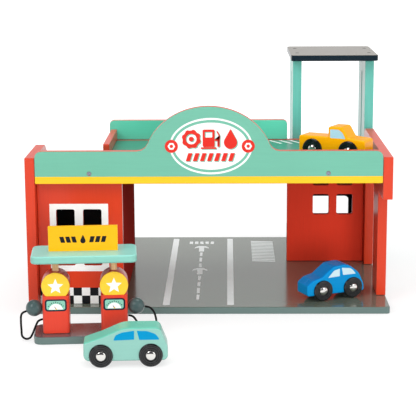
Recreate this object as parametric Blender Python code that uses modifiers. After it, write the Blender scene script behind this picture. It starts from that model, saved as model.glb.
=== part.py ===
# Wooden toy service station with a car lift, a ramp, a fuel pump island and three cars.
# The origin is the middle of the base plate's underside, the front faces -Y, and units are metres.
from math import asin, ceil, cos, hypot, pi, radians, sin, sqrt, tan

import bmesh
import bpy
from mathutils import Vector

# Boards and clearances
BOARD = 0.009
WALL = 0.012
ROOF_BOARD = 0.008
GAP = 0.0003
RUN_CLEAR = 0.0009
EDGE = 0.0008
BASE_EDGE = 0.0012
SIGN_EDGE = 0.0005
WELD = 0.000002
ARC_STEPS = 3
ROD_STEPS = 12
PEG_STEPS = 16
WHEEL_STEPS = 16
DISC_STEPS = 28
BEAD_STEPS = 9

# Station
BASE_W = 0.450
BASE_R = 0.004
REAR_MARGIN = 0.011
DECK_Z = 0.1825
DECK_D = 0.246
RAIL_H = 0.015
RAIL_R = 0.002
RAIL_T = 0.0082
BACK_RAIL_H = 0.0275
BACK_RAIL_REACH = 0.3188
BACK_RAIL_OVER = 0.002
BACK_RAIL_R = 0.006
RAMP_START = 0.107
RAMP_RUN = 0.272
RAMP_W = 0.065
RAMP_TIP = 0.002
CREST_R = 0.012
WALL_R = 0.009
RAMP_END_R = 0.006
DOOR_R = 0.006

# Fascia and its arch
FASCIA_DROP = 0.0172
FASCIA_RISE = 0.0233
FASCIA_TOP_R = 0.008
FASCIA_BOTTOM_R = 0.0012
ARCH_A = 0.0794
ARCH_B = 0.0704
ARCH_SINK = 0.0158
ARCH_START = radians(20.2)
ARCH_STEPS = 26
ARCH_FILLET = 0.0160

# Shop, doorway and walls under the deck
SHOP_W = 0.1054
SHOP_SETBACK = 0.016
SHOP_D = 0.235
SHOP_BACK = 0.095
LINTEL = 0.0377
NOTCH_D = 0.0545
PILLAR_W = 0.0515
DOORWAY_W = 0.111
WINDOW_WALL_W = 0.1067

# Windows of the shop and of the wall in front of the lift
SHOP_PANE_W = 0.0230
SHOP_PANE_H = 0.0312
SHOP_PITCH_X = 0.0334
SHOP_PITCH_Z = 0.0405
SHOP_WINDOW_X = 0.0512
SHOP_WINDOW_Z = 0.0857
LIFT_PANE_W = 0.0222
LIFT_PANE_H = 0.0286
LIFT_PITCH_X = 0.0330
LIFT_PITCH_Z = 0.0412
LIFT_WINDOW_X = 0.0429
LIFT_WINDOW_Z = 0.1024
PANE_R = 0.0025

# Lift
LIFT_W = 0.1115
LIFT_D = 0.095
TOWER_Z = 0.300
ROOF_OVER = 0.0035
ROOF_D = 0.140
ROOF_R = 0.006
SLOT_W = 0.009
SLOT_HEAD = 0.0197
GATE_W = 0.064
GATE_H = 0.0728
BACK_WALL_DROP = 0.0195
CHEEK_T = 0.006
CHEEK_IN = 0.001
CHEEK_L = 0.050
CHEEK_H = 0.030
PEG_D = 0.008
PEG_RISE = 0.0082
PEG_PITCH = 0.014
PEG_SEAT = 0.004
HANDLE_T = 0.0045
HANDLE_W = 0.014
HANDLE_H = 0.036
HANDLE_R = 0.004

# Pump island
ISLAND_IN = 0.081
ISLAND_STEP = 0.0957
ISLAND_TURN = radians(4.5)
ISLAND_W = 0.120
ISLAND_D = 0.056
ISLAND_R = 0.010
PUMP_PITCH = 0.0678
PUMP_W = 0.0314
PUMP_D = 0.029
PUMP_H = 0.0447
PUMP_R = 0.004
HEAD_D = 0.0332
HEAD_T = 0.0265
HEAD_SINK = 0.0054
HEAD_EDGE = 0.0012
POST_D = 0.0075
POST_SEAT = 0.0054
POST_CHAMFER = 0.0004
CANOPY_W = 0.122
CANOPY_D = 0.060
CANOPY_R = 0.008
CANOPY_LIFT = 0.0142
SIGN_W = 0.0805
SIGN_H = 0.0322
SIGN_T = 0.005
SIGN_ASIDE = -0.001
SIGN_SEAT = 0.003
BEAD_D = 0.0195
BEAD_UP = 0.0290
BEAD_FORWARD = 0.004
HOLDER_D = 0.005
HOLDER_L = 0.0085
HOSE_D = 0.0025
HOSE_STEP = 2.0

# Cars
WHEEL_D = 0.0266
WHEEL_T = 0.007
WHEEL_PROUD = 0.0022
TYRE_ROUND = 0.0017
TYRE_BACK_ROUND = 0.0010
ARCH_CLEAR = 0.0010
DISH_D = 0.0150
DISH_DEEP = 0.0012
HUB_D = 0.0110
HUB_H = 0.0024
HUB_CROWN_D = 0.0062
HUB_CROWN_H = 0.0020
HUB_RIM_H = 0.0007
AXLE_D = 0.003
AXLE_FIT = 0.00015
AXLE_PLAY = 0.0003
CAR_W = 0.0288
CAR_EDGE = 0.0018

# Screws
SCREW_D = 0.005
SHANK_D = 0.0025
SCREW_L = 0.020
SCREW_HEAD = 0.0016
ROOF_SCREW_PITCH = 0.068
FASCIA_SCREW_X = 0.146

# Where the cars stand, with the headings of their fronts
GREEN_PAST_ISLAND = (0.0541, -0.0984)
GREEN_HEADING = radians(183.5)
BLUE_FROM_RIGHT = 0.0708
BLUE_BEHIND = 0.0481
BLUE_HEADING = radians(204.3)
TRUCK_FROM_RIGHT = 0.0645
TRUCK_BEHIND = 0.0750
TRUCK_HEADING = radians(-27.6)

# Side outlines of the cars: distance behind the nose, height over the axles, corner radius
GREEN_SIDE = [
    (0.0000, -0.0064, 0.007),
    (0.0003, 0.0143, 0.005),
    (0.0200, 0.0209, 0.060),
    (0.0440, 0.0312, 0.030),
    (0.0840, 0.0310, 0.007),
    (0.0929, 0.0088, 0.012),
    (0.0927, -0.0064, 0.007),
]
GREEN_AXLES = (0.0193, 0.0740)
BLUE_SIDE = [
    (0.0000, -0.0059, 0.003),
    (0.0000, 0.0080, 0.003),
    (0.0080, 0.0140, 0.008),
    (0.0205, 0.0171, 0.008),
    (0.0370, 0.0296, 0.012),
    (0.0575, 0.0312, 0.020),
    (0.0735, 0.0187, 0.020),
    (0.0808, 0.0028, 0.008),
    (0.0811, -0.0058, 0.003),
]
BLUE_AXLES = (0.0221, 0.0646)
TRUCK_SIDE = [
    (0.0000, -0.0058, 0.0025),
    (0.0000, 0.0148, 0.004),
    (0.0232, 0.0167, 0.003),
    (0.0314, 0.0300, 0.004),
    (0.0498, 0.0300, 0.003),
    (0.0497, 0.0167, 0.001),
    (0.0900, 0.0166, 0.003),
    (0.0900, -0.0058, 0.0025),
]
TRUCK_AXLES = (0.0222, 0.0712)

# Routes of the hoses in the island's frame, from the bead round a loop to the pump's side
LEFT_HOSE = [
    (-0.0690, -0.0042, 0.0344),
    (-0.0720, -0.0043, 0.0332),
    (-0.0749, -0.0053, 0.0298),
    (-0.0753, -0.0068, 0.0213),
    (-0.0749, -0.0079, 0.0131),
    (-0.0743, -0.0083, 0.0056),
    (-0.0702, -0.0085, 0.0021),
    (-0.0652, -0.0083, 0.0031),
    (-0.0619, -0.0078, 0.0082),
    (-0.0602, -0.0070, 0.0123),
    (-0.0582, -0.0061, 0.0169),
    (-0.0557, -0.0053, 0.0218),
    (-0.0522, -0.0046, 0.0238),
    (-0.0499, -0.0046, 0.0243),
]
RIGHT_HOSE = [
    (0.0697, -0.0040, 0.0369),
    (0.0721, -0.0040, 0.0366),
    (0.0768, -0.0048, 0.0346),
    (0.0807, -0.0062, 0.0291),
    (0.0828, -0.0074, 0.0199),
    (0.0820, -0.0082, 0.0106),
    (0.0780, -0.0086, 0.0041),
    (0.0722, -0.0086, 0.0019),
    (0.0670, -0.0082, 0.0050),
    (0.0634, -0.0074, 0.0116),
    (0.0601, -0.0062, 0.0190),
    (0.0562, -0.0050, 0.0246),
    (0.0522, -0.0046, 0.0265),
    (0.0499, -0.0046, 0.0268),
]

# Values that follow from the ones above
BASE_D = RAMP_START + RAMP_RUN + REAR_MARGIN
FRONT = -BASE_D / 2
SIDE = BASE_W / 2
INNER = SIDE - WALL - GAP
FLOOR = BOARD + GAP
CEILING = DECK_Z - BOARD - GAP
ON_DECK = DECK_Z + GAP
WALL_Z = DECK_Z + RAIL_H
DOOR_Z = DECK_Z - LINTEL
SLOPE = (DECK_Z - BOARD) / RAMP_RUN
RAMP_RIGHT = -INNER + RAMP_W
DECK_LEFT = RAMP_RIGHT + GAP + BOARD + GAP
LIFT_LEFT = SIDE - LIFT_W
LIFT_MID_X = SIDE - LIFT_W / 2
LIFT_START = DECK_D + GAP
LIFT_END = LIFT_START + LIFT_D
LIFT_MID = (LIFT_START + LIFT_END) / 2
PANEL_TOP = TOWER_Z - ROOF_BOARD - GAP
CAR_FLOOR_TOP = FLOOR + BOARD
PEG_LOW = CAR_FLOOR_TOP + PEG_RISE
PUMP_TOP = FLOOR + PUMP_H
HEAD_Z = PUMP_TOP - HEAD_SINK + HEAD_D / 2
HEAD_TOP = HEAD_Z + HEAD_D / 2
CANOPY_Z = HEAD_TOP + CANOPY_LIFT
PUMP_OUT = PUMP_PITCH / 2 + PUMP_W / 2
BEAD_X = PUMP_OUT + GAP + BEAD_D / 2
BEAD_Z = BOARD + BEAD_UP
AXLE_Z = WHEEL_D / 2
WHEEL_SEAT = CAR_W / 2 + WHEEL_PROUD - WHEEL_T
HUB_FACE = WHEEL_SEAT + WHEEL_T - DISH_DEEP

ALONG_X = (pi / 2, 0, 0)
ALONG_Y = (pi / 2, 0, pi / 2)
FLAT = (0, 0, 0)


def behind(depth):
    return FRONT + depth


def ramp_z(depth):
    return DECK_Z - SLOPE * (depth - RAMP_START)


def clear_scene():
    for item in list(bpy.data.objects):
        bpy.data.objects.remove(item)


def new_collection(name):
    made = bpy.data.collections.new(name)
    bpy.context.scene.collection.children.link(made)
    return made


clear_scene()
STATION = new_collection("toy_service_station")
CUTTERS = new_collection("cutters")


def linear(value):
    if value <= 0.04045:
        return value / 12.92
    return ((value + 0.055) / 1.055) ** 2.4


def paint(name, red, green, blue, roughness, metallic=0.0):
    made = bpy.data.materials.new(name)
    made.use_nodes = True
    shader = made.node_tree.nodes["Principled BSDF"]
    colour = [linear(channel / 255) for channel in (red, green, blue)]
    shader.inputs["Base Color"].default_value = (*colour, 1.0)
    shader.inputs["Roughness"].default_value = roughness
    shader.inputs["Metallic"].default_value = metallic
    made.diffuse_color = (*colour, 1.0)
    return made


RED = paint("red_paint", 226, 72, 50, 0.32)
TEAL = paint("teal_paint", 118, 196, 176, 0.32)
GREY = paint("grey_paint", 112, 116, 112, 0.30)
NAVY = paint("navy_paint", 34, 46, 60, 0.35)
YELLOW = paint("yellow_paint", 252, 200, 30, 0.32)
MINT = paint("mint_paint", 150, 214, 202, 0.32)
BLUE = paint("blue_paint", 0, 136, 216, 0.30)
ORANGE = paint("orange_paint", 248, 168, 14, 0.30)
BEAD = paint("bead_paint", 74, 94, 92, 0.40)
BIRCH = paint("birch_wood", 222, 190, 142, 0.55)
SLATE = paint("slate_paint", 52, 60, 68, 0.38)
STEEL = paint("steel", 200, 202, 204, 0.28, 1.0)
RUBBER = paint("black_cord", 24, 24, 25, 0.55)


def smooth(item, angle=32):
    item.data.shade_smooth()
    item.data.set_sharp_from_angle(angle=radians(angle))


def add_object(name, mesh, finish, location=(0, 0, 0), turn=FLAT, parent=None):
    item = bpy.data.objects.new(name, mesh)
    STATION.objects.link(item)
    item.parent = parent
    item.location = location
    item.rotation_euler = turn
    mesh.materials.clear()
    mesh.materials.append(finish)
    return item


def add_frame(name, location, heading):
    frame = bpy.data.objects.new(name, None)
    STATION.objects.link(frame)
    frame.empty_display_size = 0.02
    frame.location = location
    frame.rotation_euler = (0, 0, heading)
    return frame


def round_edges(item, width=EDGE, segments=2):
    bevel = item.modifiers.new("rounded_edges", "BEVEL")
    bevel.width = width
    bevel.segments = segments
    bevel.limit_method = "ANGLE"
    bevel.angle_limit = radians(35)
    bevel.use_clamp_overlap = False
    return item


def cut(item, cutter):
    hole = item.modifiers.new(cutter.name, "BOOLEAN")
    hole.operation = "DIFFERENCE"
    hole.solver = "EXACT"
    hole.object = cutter


def as_cutter(item):
    STATION.objects.unlink(item)
    CUTTERS.objects.link(item)
    item.hide_render = True
    item.display_type = "WIRE"
    return item


# Corners of an outline, each (u, v, radius), become arcs that end on the two edges beside them.
def rounded(corners, steps=ARC_STEPS):
    points = []
    count = len(corners)
    for index, (u, v, radius) in enumerate(corners):
        here = Vector((u, v))
        last = corners[index - 1]
        following = corners[(index + 1) % count]
        back = Vector(last[:2]) - here
        ahead = Vector(following[:2]) - here
        half = back.angle(ahead) / 2
        if radius <= 0 or half > pi / 2 - 0.001:
            points.append((u, v))
            continue
        room_back = 0.98 * back.length * radius / (radius + last[2])
        room_ahead = 0.98 * ahead.length * radius / (radius + following[2])
        reach = min(radius / tan(half), room_back, room_ahead)
        real = reach * tan(half)
        toward = (back.normalized() + ahead.normalized()).normalized()
        centre = here + toward * (real / sin(half))
        start = here + back.normalized() * reach - centre
        sweep = start.angle_signed(here + ahead.normalized() * reach - centre)
        for step in range(steps + 1):
            angle = -sweep * step / steps
            x = start.x * cos(angle) - start.y * sin(angle)
            y = start.x * sin(angle) + start.y * cos(angle)
            points.append((centre.x + x, centre.y + y))
    return points


def rectangle(left, right, low, high, radius=0.0):
    return rounded([(left, low, radius), (right, low, radius), (right, high, radius), (left, high, radius)])


def mesh_from_curve(drawn, name):
    bpy.context.view_layer.update()
    seen = drawn.evaluated_get(bpy.context.evaluated_depsgraph_get())
    mesh = bpy.data.meshes.new_from_object(seen)
    mesh.name = name
    shape = bmesh.new()
    shape.from_mesh(mesh)
    bmesh.ops.remove_doubles(shape, verts=shape.verts, dist=WELD)
    bmesh.ops.dissolve_limit(shape, angle_limit=radians(0.5), verts=shape.verts, edges=shape.edges)
    bmesh.ops.recalc_face_normals(shape, faces=shape.faces)
    shape.to_mesh(mesh)
    shape.free()
    return mesh


# A board is a flat outline with any inner loops, in the plane that its turn gives.
def board(name, loops, thickness, finish, location, turn=FLAT, parent=None, edge=EDGE):
    drawing = bpy.data.curves.new(name + "_outline", "CURVE")
    drawing.dimensions = "2D"
    drawing.fill_mode = "BOTH"
    drawing.extrude = thickness / 2
    for loop in loops:
        spline = drawing.splines.new("POLY")
        spline.points.add(len(loop) - 1)
        for point, (u, v) in zip(spline.points, loop):
            point.co = (u, v, 0, 1)
        spline.use_cyclic_u = True
    drawn = bpy.data.objects.new(name + "_outline", drawing)
    STATION.objects.link(drawn)
    drawn.parent = parent
    drawn.location = location
    drawn.rotation_euler = turn
    item = add_object(name, mesh_from_curve(drawn, name), finish, parent=parent)
    item.matrix_world = drawn.matrix_world
    bpy.data.objects.remove(drawn)
    smooth(item)
    return round_edges(item, edge)


def block(name, size, finish, location, turn=FLAT, parent=None, edge=EDGE):
    shape = bmesh.new()
    bmesh.ops.create_cube(shape, size=1.0)
    bmesh.ops.scale(shape, vec=size, verts=shape.verts)
    mesh = bpy.data.meshes.new(name)
    shape.to_mesh(mesh)
    shape.free()
    item = add_object(name, mesh, finish, location, turn, parent)
    smooth(item)
    return round_edges(item, edge) if edge else item


# A turned shape is a profile of (radius, height) points, from the top down its outer side.
def turned_mesh(name, profile, steps, closed=False):
    shape = bmesh.new()
    verts = [shape.verts.new((radius, 0, height)) for radius, height in profile]
    for first, second in zip(verts, verts[1:]):
        shape.edges.new((first, second))
    if closed:
        shape.edges.new((verts[-1], verts[0]))
    mesh = bpy.data.meshes.new(name + "_profile")
    shape.to_mesh(mesh)
    shape.free()
    lathe = bpy.data.objects.new(name + "_profile", mesh)
    STATION.objects.link(lathe)
    spin = lathe.modifiers.new("spin", "SCREW")
    spin.steps = steps
    spin.render_steps = steps
    spin.use_merge_vertices = True
    spin.merge_threshold = 0.00001
    bpy.context.view_layer.update()
    seen = lathe.evaluated_get(bpy.context.evaluated_depsgraph_get())
    made = bpy.data.meshes.new_from_object(seen)
    made.name = name
    bpy.data.objects.remove(lathe)
    return made


def turned(name, profile, steps, finish, location=(0, 0, 0), turn=FLAT, parent=None):
    item = add_object(name, turned_mesh(name, profile, steps), finish, location, turn, parent)
    smooth(item)
    return item


def rod_profile(radius, top, bottom, chamfer=0.0):
    if chamfer <= 0:
        return [(0, top), (radius, top), (radius, bottom), (0, bottom)]
    inner = radius - chamfer
    return [
        (0, top),
        (inner, top),
        (radius, top - chamfer),
        (radius, bottom + chamfer),
        (inner, bottom),
        (0, bottom),
    ]


# Windows are two by two panes about the middle of the pair of columns and rows.
def panes(middle_x, middle_z, pitch_x, pitch_z, width, height):
    loops = []
    for side in (-0.5, 0.5):
        for level in (-0.5, 0.5):
            x = middle_x + side * pitch_x
            z = middle_z + level * pitch_z
            loops.append(rectangle(x - width / 2, x + width / 2, z - height / 2, z + height / 2, PANE_R))
    return loops


# Screws and the holes that take them
def screw_profile(grow, head_top):
    return [
        (0, head_top),
        (SCREW_D / 2 + grow, head_top),
        (SCREW_D / 2 + grow, -GAP - grow),
        (SHANK_D / 2 + grow, -SCREW_HEAD - grow),
        (SHANK_D / 2 + grow, -SCREW_L + SHANK_D / 2),
        (0, -SCREW_L - grow),
    ]


def screws(names, places, turn, pieces):
    shank = turned_mesh("screw", screw_profile(0, -GAP / 2), ROD_STEPS)
    hole = turned_mesh("screw_hole", screw_profile(GAP, RUN_CLEAR), ROD_STEPS)
    for name, place in zip(names, places):
        smooth(add_object(name, shank.copy(), STEEL, place, turn))
        cutter = as_cutter(add_object(name + "_hole", hole.copy(), STEEL, place, turn))
        for piece in pieces:
            cut(piece, cutter)


# Base plate, side walls and ramp
def make_base():
    outline = rectangle(-SIDE, SIDE, FRONT, -FRONT, BASE_R)
    return board("base_plate", [outline], BOARD, GREY, (0, 0, BOARD / 2), edge=BASE_EDGE)


def make_left_wall():
    end = RAMP_START + RAMP_RUN
    outline = rounded([
        (behind(0), FLOOR, 0),
        (behind(end), FLOOR, 0),
        (behind(end), ramp_z(end) + RAIL_H, RAMP_END_R),
        (behind(RAMP_START), WALL_Z, CREST_R),
        (behind(0), WALL_Z, 0),
    ])
    return board("left_wall", [outline], WALL, RED, (-SIDE + WALL / 2, 0, 0), ALONG_Y)


def make_right_wall():
    doorway = NOTCH_D + PILLAR_W
    outline = rounded([
        (behind(0), DOOR_Z, 0),
        (behind(NOTCH_D), DOOR_Z, 0),
        (behind(NOTCH_D), FLOOR, 0),
        (behind(doorway), FLOOR, 0),
        (behind(doorway), DOOR_Z, DOOR_R),
        (behind(doorway + DOORWAY_W), DOOR_Z, DOOR_R),
        (behind(doorway + DOORWAY_W), FLOOR, 0),
        (behind(DECK_D), FLOOR, 0),
        (behind(DECK_D), WALL_Z, WALL_R),
        (behind(0), WALL_Z, 0),
    ])
    return board("right_wall", [outline], WALL, RED, (SIDE - WALL / 2, 0, 0), ALONG_Y)


def make_ramp():
    start = RAMP_START + GAP
    tall = BOARD * hypot(1, SLOPE)
    foot = RAMP_START + (DECK_Z - FLOOR - tall) / SLOPE
    tip = RAMP_START + (DECK_Z - FLOOR - RAMP_TIP) / SLOPE
    outline = [
        (behind(start), ramp_z(start) - tall),
        (behind(foot), FLOOR),
        (behind(tip), FLOOR),
        (behind(tip), FLOOR + RAMP_TIP),
        (behind(start), ramp_z(start)),
    ]
    board("ramp", [outline], RAMP_W, RED, (-INNER + RAMP_W / 2, 0, 0), ALONG_Y)


def make_ramp_wall():
    end = RAMP_START + RAMP_RUN
    level = RAMP_START + RAIL_H / SLOPE
    outline = rounded([
        (behind(RAMP_START + GAP), FLOOR, 0),
        (behind(end), FLOOR, 0),
        (behind(end), ramp_z(end) + RAIL_H, RAMP_END_R),
        (behind(level), DECK_Z, CREST_R),
        (behind(RAMP_START + GAP), DECK_Z, 0),
    ])
    board("ramp_wall", [outline], BOARD, RED, (RAMP_RIGHT + GAP + BOARD / 2, 0, 0), ALONG_Y)


# Fascia with its arch, the deck and the rails on it
def make_fascia():
    low = DECK_Z - FASCIA_DROP
    top = DECK_Z + FASCIA_RISE
    arch_z = top - ARCH_SINK
    foot_z = arch_z + ARCH_B * sin(ARCH_START)
    foot_x = ARCH_A * cos(ARCH_START)
    corner_x = foot_x + (foot_z - top) * ARCH_A * tan(ARCH_START) / ARCH_B
    right = [(-INNER, low, FASCIA_BOTTOM_R), (INNER, low, FASCIA_BOTTOM_R), (INNER, top, FASCIA_TOP_R)]
    arch = []
    for step in range(ARCH_STEPS + 1):
        angle = ARCH_START + (pi - 2 * ARCH_START) * step / ARCH_STEPS
        arch.append((ARCH_A * cos(angle), arch_z + ARCH_B * sin(angle), 0))
    corners = right + [(corner_x, top, ARCH_FILLET)] + arch
    corners += [(-corner_x, top, ARCH_FILLET), (-INNER, top, FASCIA_TOP_R)]
    return board("fascia", [rounded(corners)], BOARD, TEAL, (0, behind(BOARD / 2), 0), ALONG_X)


def make_deck():
    front = behind(BOARD + GAP)
    outline = [
        (-INNER, front),
        (INNER, front),
        (INNER, behind(DECK_D)),
        (DECK_LEFT, behind(DECK_D)),
        (DECK_LEFT, behind(RAMP_START)),
        (-INNER, behind(RAMP_START)),
    ]
    return board("deck", [outline], BOARD, TEAL, (0, 0, DECK_Z - BOARD / 2))


def make_rails():
    end = DECK_D - BOARD - GAP
    left = rectangle(behind(RAMP_START), behind(end), ON_DECK, WALL_Z, RAIL_R)
    board("left_rail", [left], RAIL_T, RED, (DECK_LEFT + RAIL_T / 2, 0, 0), ALONG_Y)
    near = DECK_LEFT - BACK_RAIL_OVER
    far = -SIDE + BACK_RAIL_REACH + WALL
    top = DECK_Z + BACK_RAIL_H
    back = rounded([
        (near, ON_DECK, 0),
        (far, ON_DECK, 0),
        (far, top, BACK_RAIL_R),
        (near, top, BACK_RAIL_R),
    ])
    board("back_rail", [back], BOARD, TEAL, (0, behind(DECK_D - BOARD / 2), 0), ALONG_X)


# Shop under the left of the deck, and the wall in front of the lift
def make_shop():
    right = -INNER + SHOP_W
    outline = rectangle(-INNER, right, FLOOR, CEILING)
    windows = panes(
        -INNER + SHOP_WINDOW_X, BOARD + SHOP_WINDOW_Z,
        SHOP_PITCH_X, SHOP_PITCH_Z, SHOP_PANE_W, SHOP_PANE_H)
    middle = behind(SHOP_SETBACK + BOARD / 2)
    board("shop_front", [outline, *windows], BOARD, RED, (0, middle, 0), ALONG_X)
    side = rectangle(behind(SHOP_SETBACK + BOARD + GAP), behind(SHOP_D), FLOOR, CEILING)
    board("shop_partition", [side], BOARD, RED, (right - BOARD / 2, 0, 0), ALONG_Y)
    back = rectangle(-INNER, right - BOARD - GAP, FLOOR, CEILING)
    board("shop_back", [back], BOARD, NAVY, (0, behind(SHOP_BACK + BOARD / 2), 0), ALONG_X)


def make_window_wall():
    outline = rectangle(INNER - WINDOW_WALL_W, INNER, FLOOR, CEILING)
    windows = panes(
        INNER - LIFT_WINDOW_X, BOARD + LIFT_WINDOW_Z,
        LIFT_PITCH_X, LIFT_PITCH_Z, LIFT_PANE_W, LIFT_PANE_H)
    middle = behind(DECK_D - BOARD / 2)
    return board("window_wall", [outline, *windows], BOARD, RED, (0, middle, 0), ALONG_X)


# Lift tower
def make_lift_panels():
    slot_low = PEG_LOW - SLOT_W / 2
    slot_high = PANEL_TOP - SLOT_HEAD
    made = []
    for name, middle in (("lift_panel_left", LIFT_LEFT + WALL / 2), ("lift_panel_right", SIDE - WALL / 2)):
        outline = rectangle(behind(LIFT_START), behind(LIFT_END), FLOOR, PANEL_TOP)
        slot = rectangle(
            behind(LIFT_MID) - SLOT_W / 2, behind(LIFT_MID) + SLOT_W / 2,
            slot_low, slot_high, SLOT_W / 2)
        made.append(board(name, [outline, slot], WALL, TEAL, (middle, 0, 0), ALONG_Y))
    return made


def make_lift_roof():
    half = LIFT_W / 2 + ROOF_OVER
    outline = rectangle(
        LIFT_MID_X - half, LIFT_MID_X + half,
        behind(LIFT_MID) - ROOF_D / 2, behind(LIFT_MID) + ROOF_D / 2, ROOF_R)
    return board("lift_roof", [outline], ROOF_BOARD, NAVY, (0, 0, TOWER_Z - ROOF_BOARD / 2))


def make_lift_back_wall():
    top = DECK_Z - BACK_WALL_DROP
    outline = rounded([
        (LIFT_LEFT, FLOOR, 0),
        (LIFT_MID_X - GATE_W / 2, FLOOR, 0),
        (LIFT_MID_X - GATE_W / 2, BOARD + GATE_H, DOOR_R),
        (LIFT_MID_X + GATE_W / 2, BOARD + GATE_H, DOOR_R),
        (LIFT_MID_X + GATE_W / 2, FLOOR, 0),
        (SIDE, FLOOR, 0),
        (SIDE, top, 0),
        (LIFT_LEFT, top, 0),
    ])
    middle = behind(LIFT_END + GAP + BOARD / 2)
    return board("lift_back_wall", [outline], BOARD, NAVY, (0, middle, 0), ALONG_X)


def union(item, other):
    join = item.modifiers.new(other.name, "BOOLEAN")
    join.operation = "UNION"
    join.solver = "EXACT"
    join.object = as_cutter(other)


# Lift car: a floor with two cheeks, carried by pegs that run in the slots of the tower
def make_lift_car():
    left = LIFT_LEFT + WALL + RUN_CLEAR
    right = SIDE - WALL - RUN_CLEAR
    near = behind(DECK_D + RUN_CLEAR)
    far = behind(LIFT_END + GAP - RUN_CLEAR)
    size = (right - left, far - near, BOARD)
    car = block("lift_car", size, NAVY, ((left + right) / 2, (near + far) / 2, FLOOR + BOARD / 2))
    cheek_h = CHEEK_H + BOARD / 2
    for side, edge in ((-1, left), (1, right)):
        place = (edge - side * (CHEEK_IN + CHEEK_T / 2), behind(LIFT_MID), FLOOR + BOARD / 2 + cheek_h / 2)
        cheek = block("cheek_%d" % (side + 2), (CHEEK_T, CHEEK_L, cheek_h), NAVY, place)
        union(car, cheek)
    for side, word, panel in ((-1, "left", LIFT_LEFT), (1, "right", SIDE)):
        make_lift_handle(car, side, word, panel)


def make_lift_handle(car, side, word, panel):
    middle = behind(LIFT_MID)
    plate_x = panel + side * (RUN_CLEAR + HANDLE_T / 2)
    low = PEG_LOW + PEG_PITCH / 2 - HANDLE_H / 2
    outline = rectangle(middle - HANDLE_W / 2, middle + HANDLE_W / 2, low, low + HANDLE_H, HANDLE_R)
    handle = board("lift_handle_" + word, [outline], HANDLE_T, NAVY, (plate_x, 0, 0), ALONG_Y)
    peg_end = HANDLE_T / 2 + RUN_CLEAR + WALL + RUN_CLEAR + CHEEK_IN + PEG_SEAT
    turn = (0, -side * pi / 2, 0)
    for level in (0, 1):
        place = (plate_x, middle, PEG_LOW + level * PEG_PITCH)
        label = "%s_%d" % (word, level)
        union(handle, turned("peg_" + label, rod_profile(PEG_D / 2, peg_end, 0), PEG_STEPS, NAVY, place, turn))
        bore = rod_profile(PEG_D / 2 + GAP, peg_end + GAP, HANDLE_T)
        cut(car, as_cutter(turned("bore_" + label, bore, PEG_STEPS, NAVY, place, turn)))


# Pump island, in the frame of the empty that turns it
def make_island():
    frame = add_frame("pump_island", (-SIDE + ISLAND_IN, FRONT - ISLAND_STEP, 0), ISLAND_TURN)
    outline = rectangle(-ISLAND_W / 2, ISLAND_W / 2, -ISLAND_D / 2, ISLAND_D / 2, ISLAND_R)
    board("island_base", [outline], BOARD, GREY, (0, 0, BOARD / 2), parent=frame)
    roof = rectangle(-CANOPY_W / 2, CANOPY_W / 2, -CANOPY_D / 2, CANOPY_D / 2, CANOPY_R)
    canopy = board("canopy", [roof], BOARD, MINT, (0, 0, CANOPY_Z + BOARD / 2), parent=frame)
    groove = block(
        "sign_groove", (SIGN_W + 2 * GAP, SIGN_T + 2 * GAP, SIGN_SEAT * 2), MINT,
        (SIGN_ASIDE, 0, CANOPY_Z + BOARD), parent=frame, edge=0)
    cut(canopy, as_cutter(groove))
    sign_low = CANOPY_Z + BOARD - SIGN_SEAT + GAP
    sign = rectangle(SIGN_ASIDE - SIGN_W / 2, SIGN_ASIDE + SIGN_W / 2, sign_low, sign_low + SIGN_H)
    board("sign_board", [sign], SIGN_T, YELLOW, FLAT, ALONG_X, frame, edge=SIGN_EDGE)
    for side, word in ((-1, "left"), (1, "right")):
        make_pump(frame, canopy, side, word)
    add_hose("hose_left", LEFT_HOSE, frame)
    add_hose("hose_right", RIGHT_HOSE, frame)


def make_pump(frame, canopy, side, word):
    middle = side * PUMP_PITCH / 2
    half = PUMP_W / 2
    deep = PUMP_D / 2
    plan = rounded([
        (-half, -deep, PUMP_R),
        (half, -deep, PUMP_R),
        (half, deep, 0),
        (-half, deep, 0),
    ])
    body = board(
        "pump_%s_body" % word, [plan], PUMP_H, RED,
        (middle, 0, FLOOR + PUMP_H / 2), parent=frame)
    head_front = HEAD_T - deep
    seat = turned(
        "seat_" + word, rod_profile(HEAD_D / 2 + GAP, head_front + GAP, -PUMP_D), DISC_STEPS, RED,
        (middle, 0, HEAD_Z), ALONG_X, frame)
    cut(body, as_cutter(seat))
    head_y = deep - HEAD_T / 2
    head = turned(
        "pump_%s_head" % word, rod_profile(HEAD_D / 2, HEAD_T / 2, -HEAD_T / 2, HEAD_EDGE), DISC_STEPS, RED,
        (middle, head_y, HEAD_Z), ALONG_X, frame)
    post_low = HEAD_TOP - POST_SEAT
    post_high = CANOPY_Z + POST_SEAT
    turned(
        "canopy_post_" + word, rod_profile(POST_D / 2, post_high, post_low, POST_CHAMFER), PEG_STEPS, BIRCH,
        (middle, 0, 0), FLAT, frame)
    socket = turned(
        "socket_" + word, rod_profile(POST_D / 2 + GAP, post_high + GAP, post_low - GAP), PEG_STEPS, BIRCH,
        (middle, 0, 0), FLAT, frame)
    as_cutter(socket)
    cut(head, socket)
    cut(canopy, socket)
    make_nozzle(frame, body, side, word)


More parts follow.
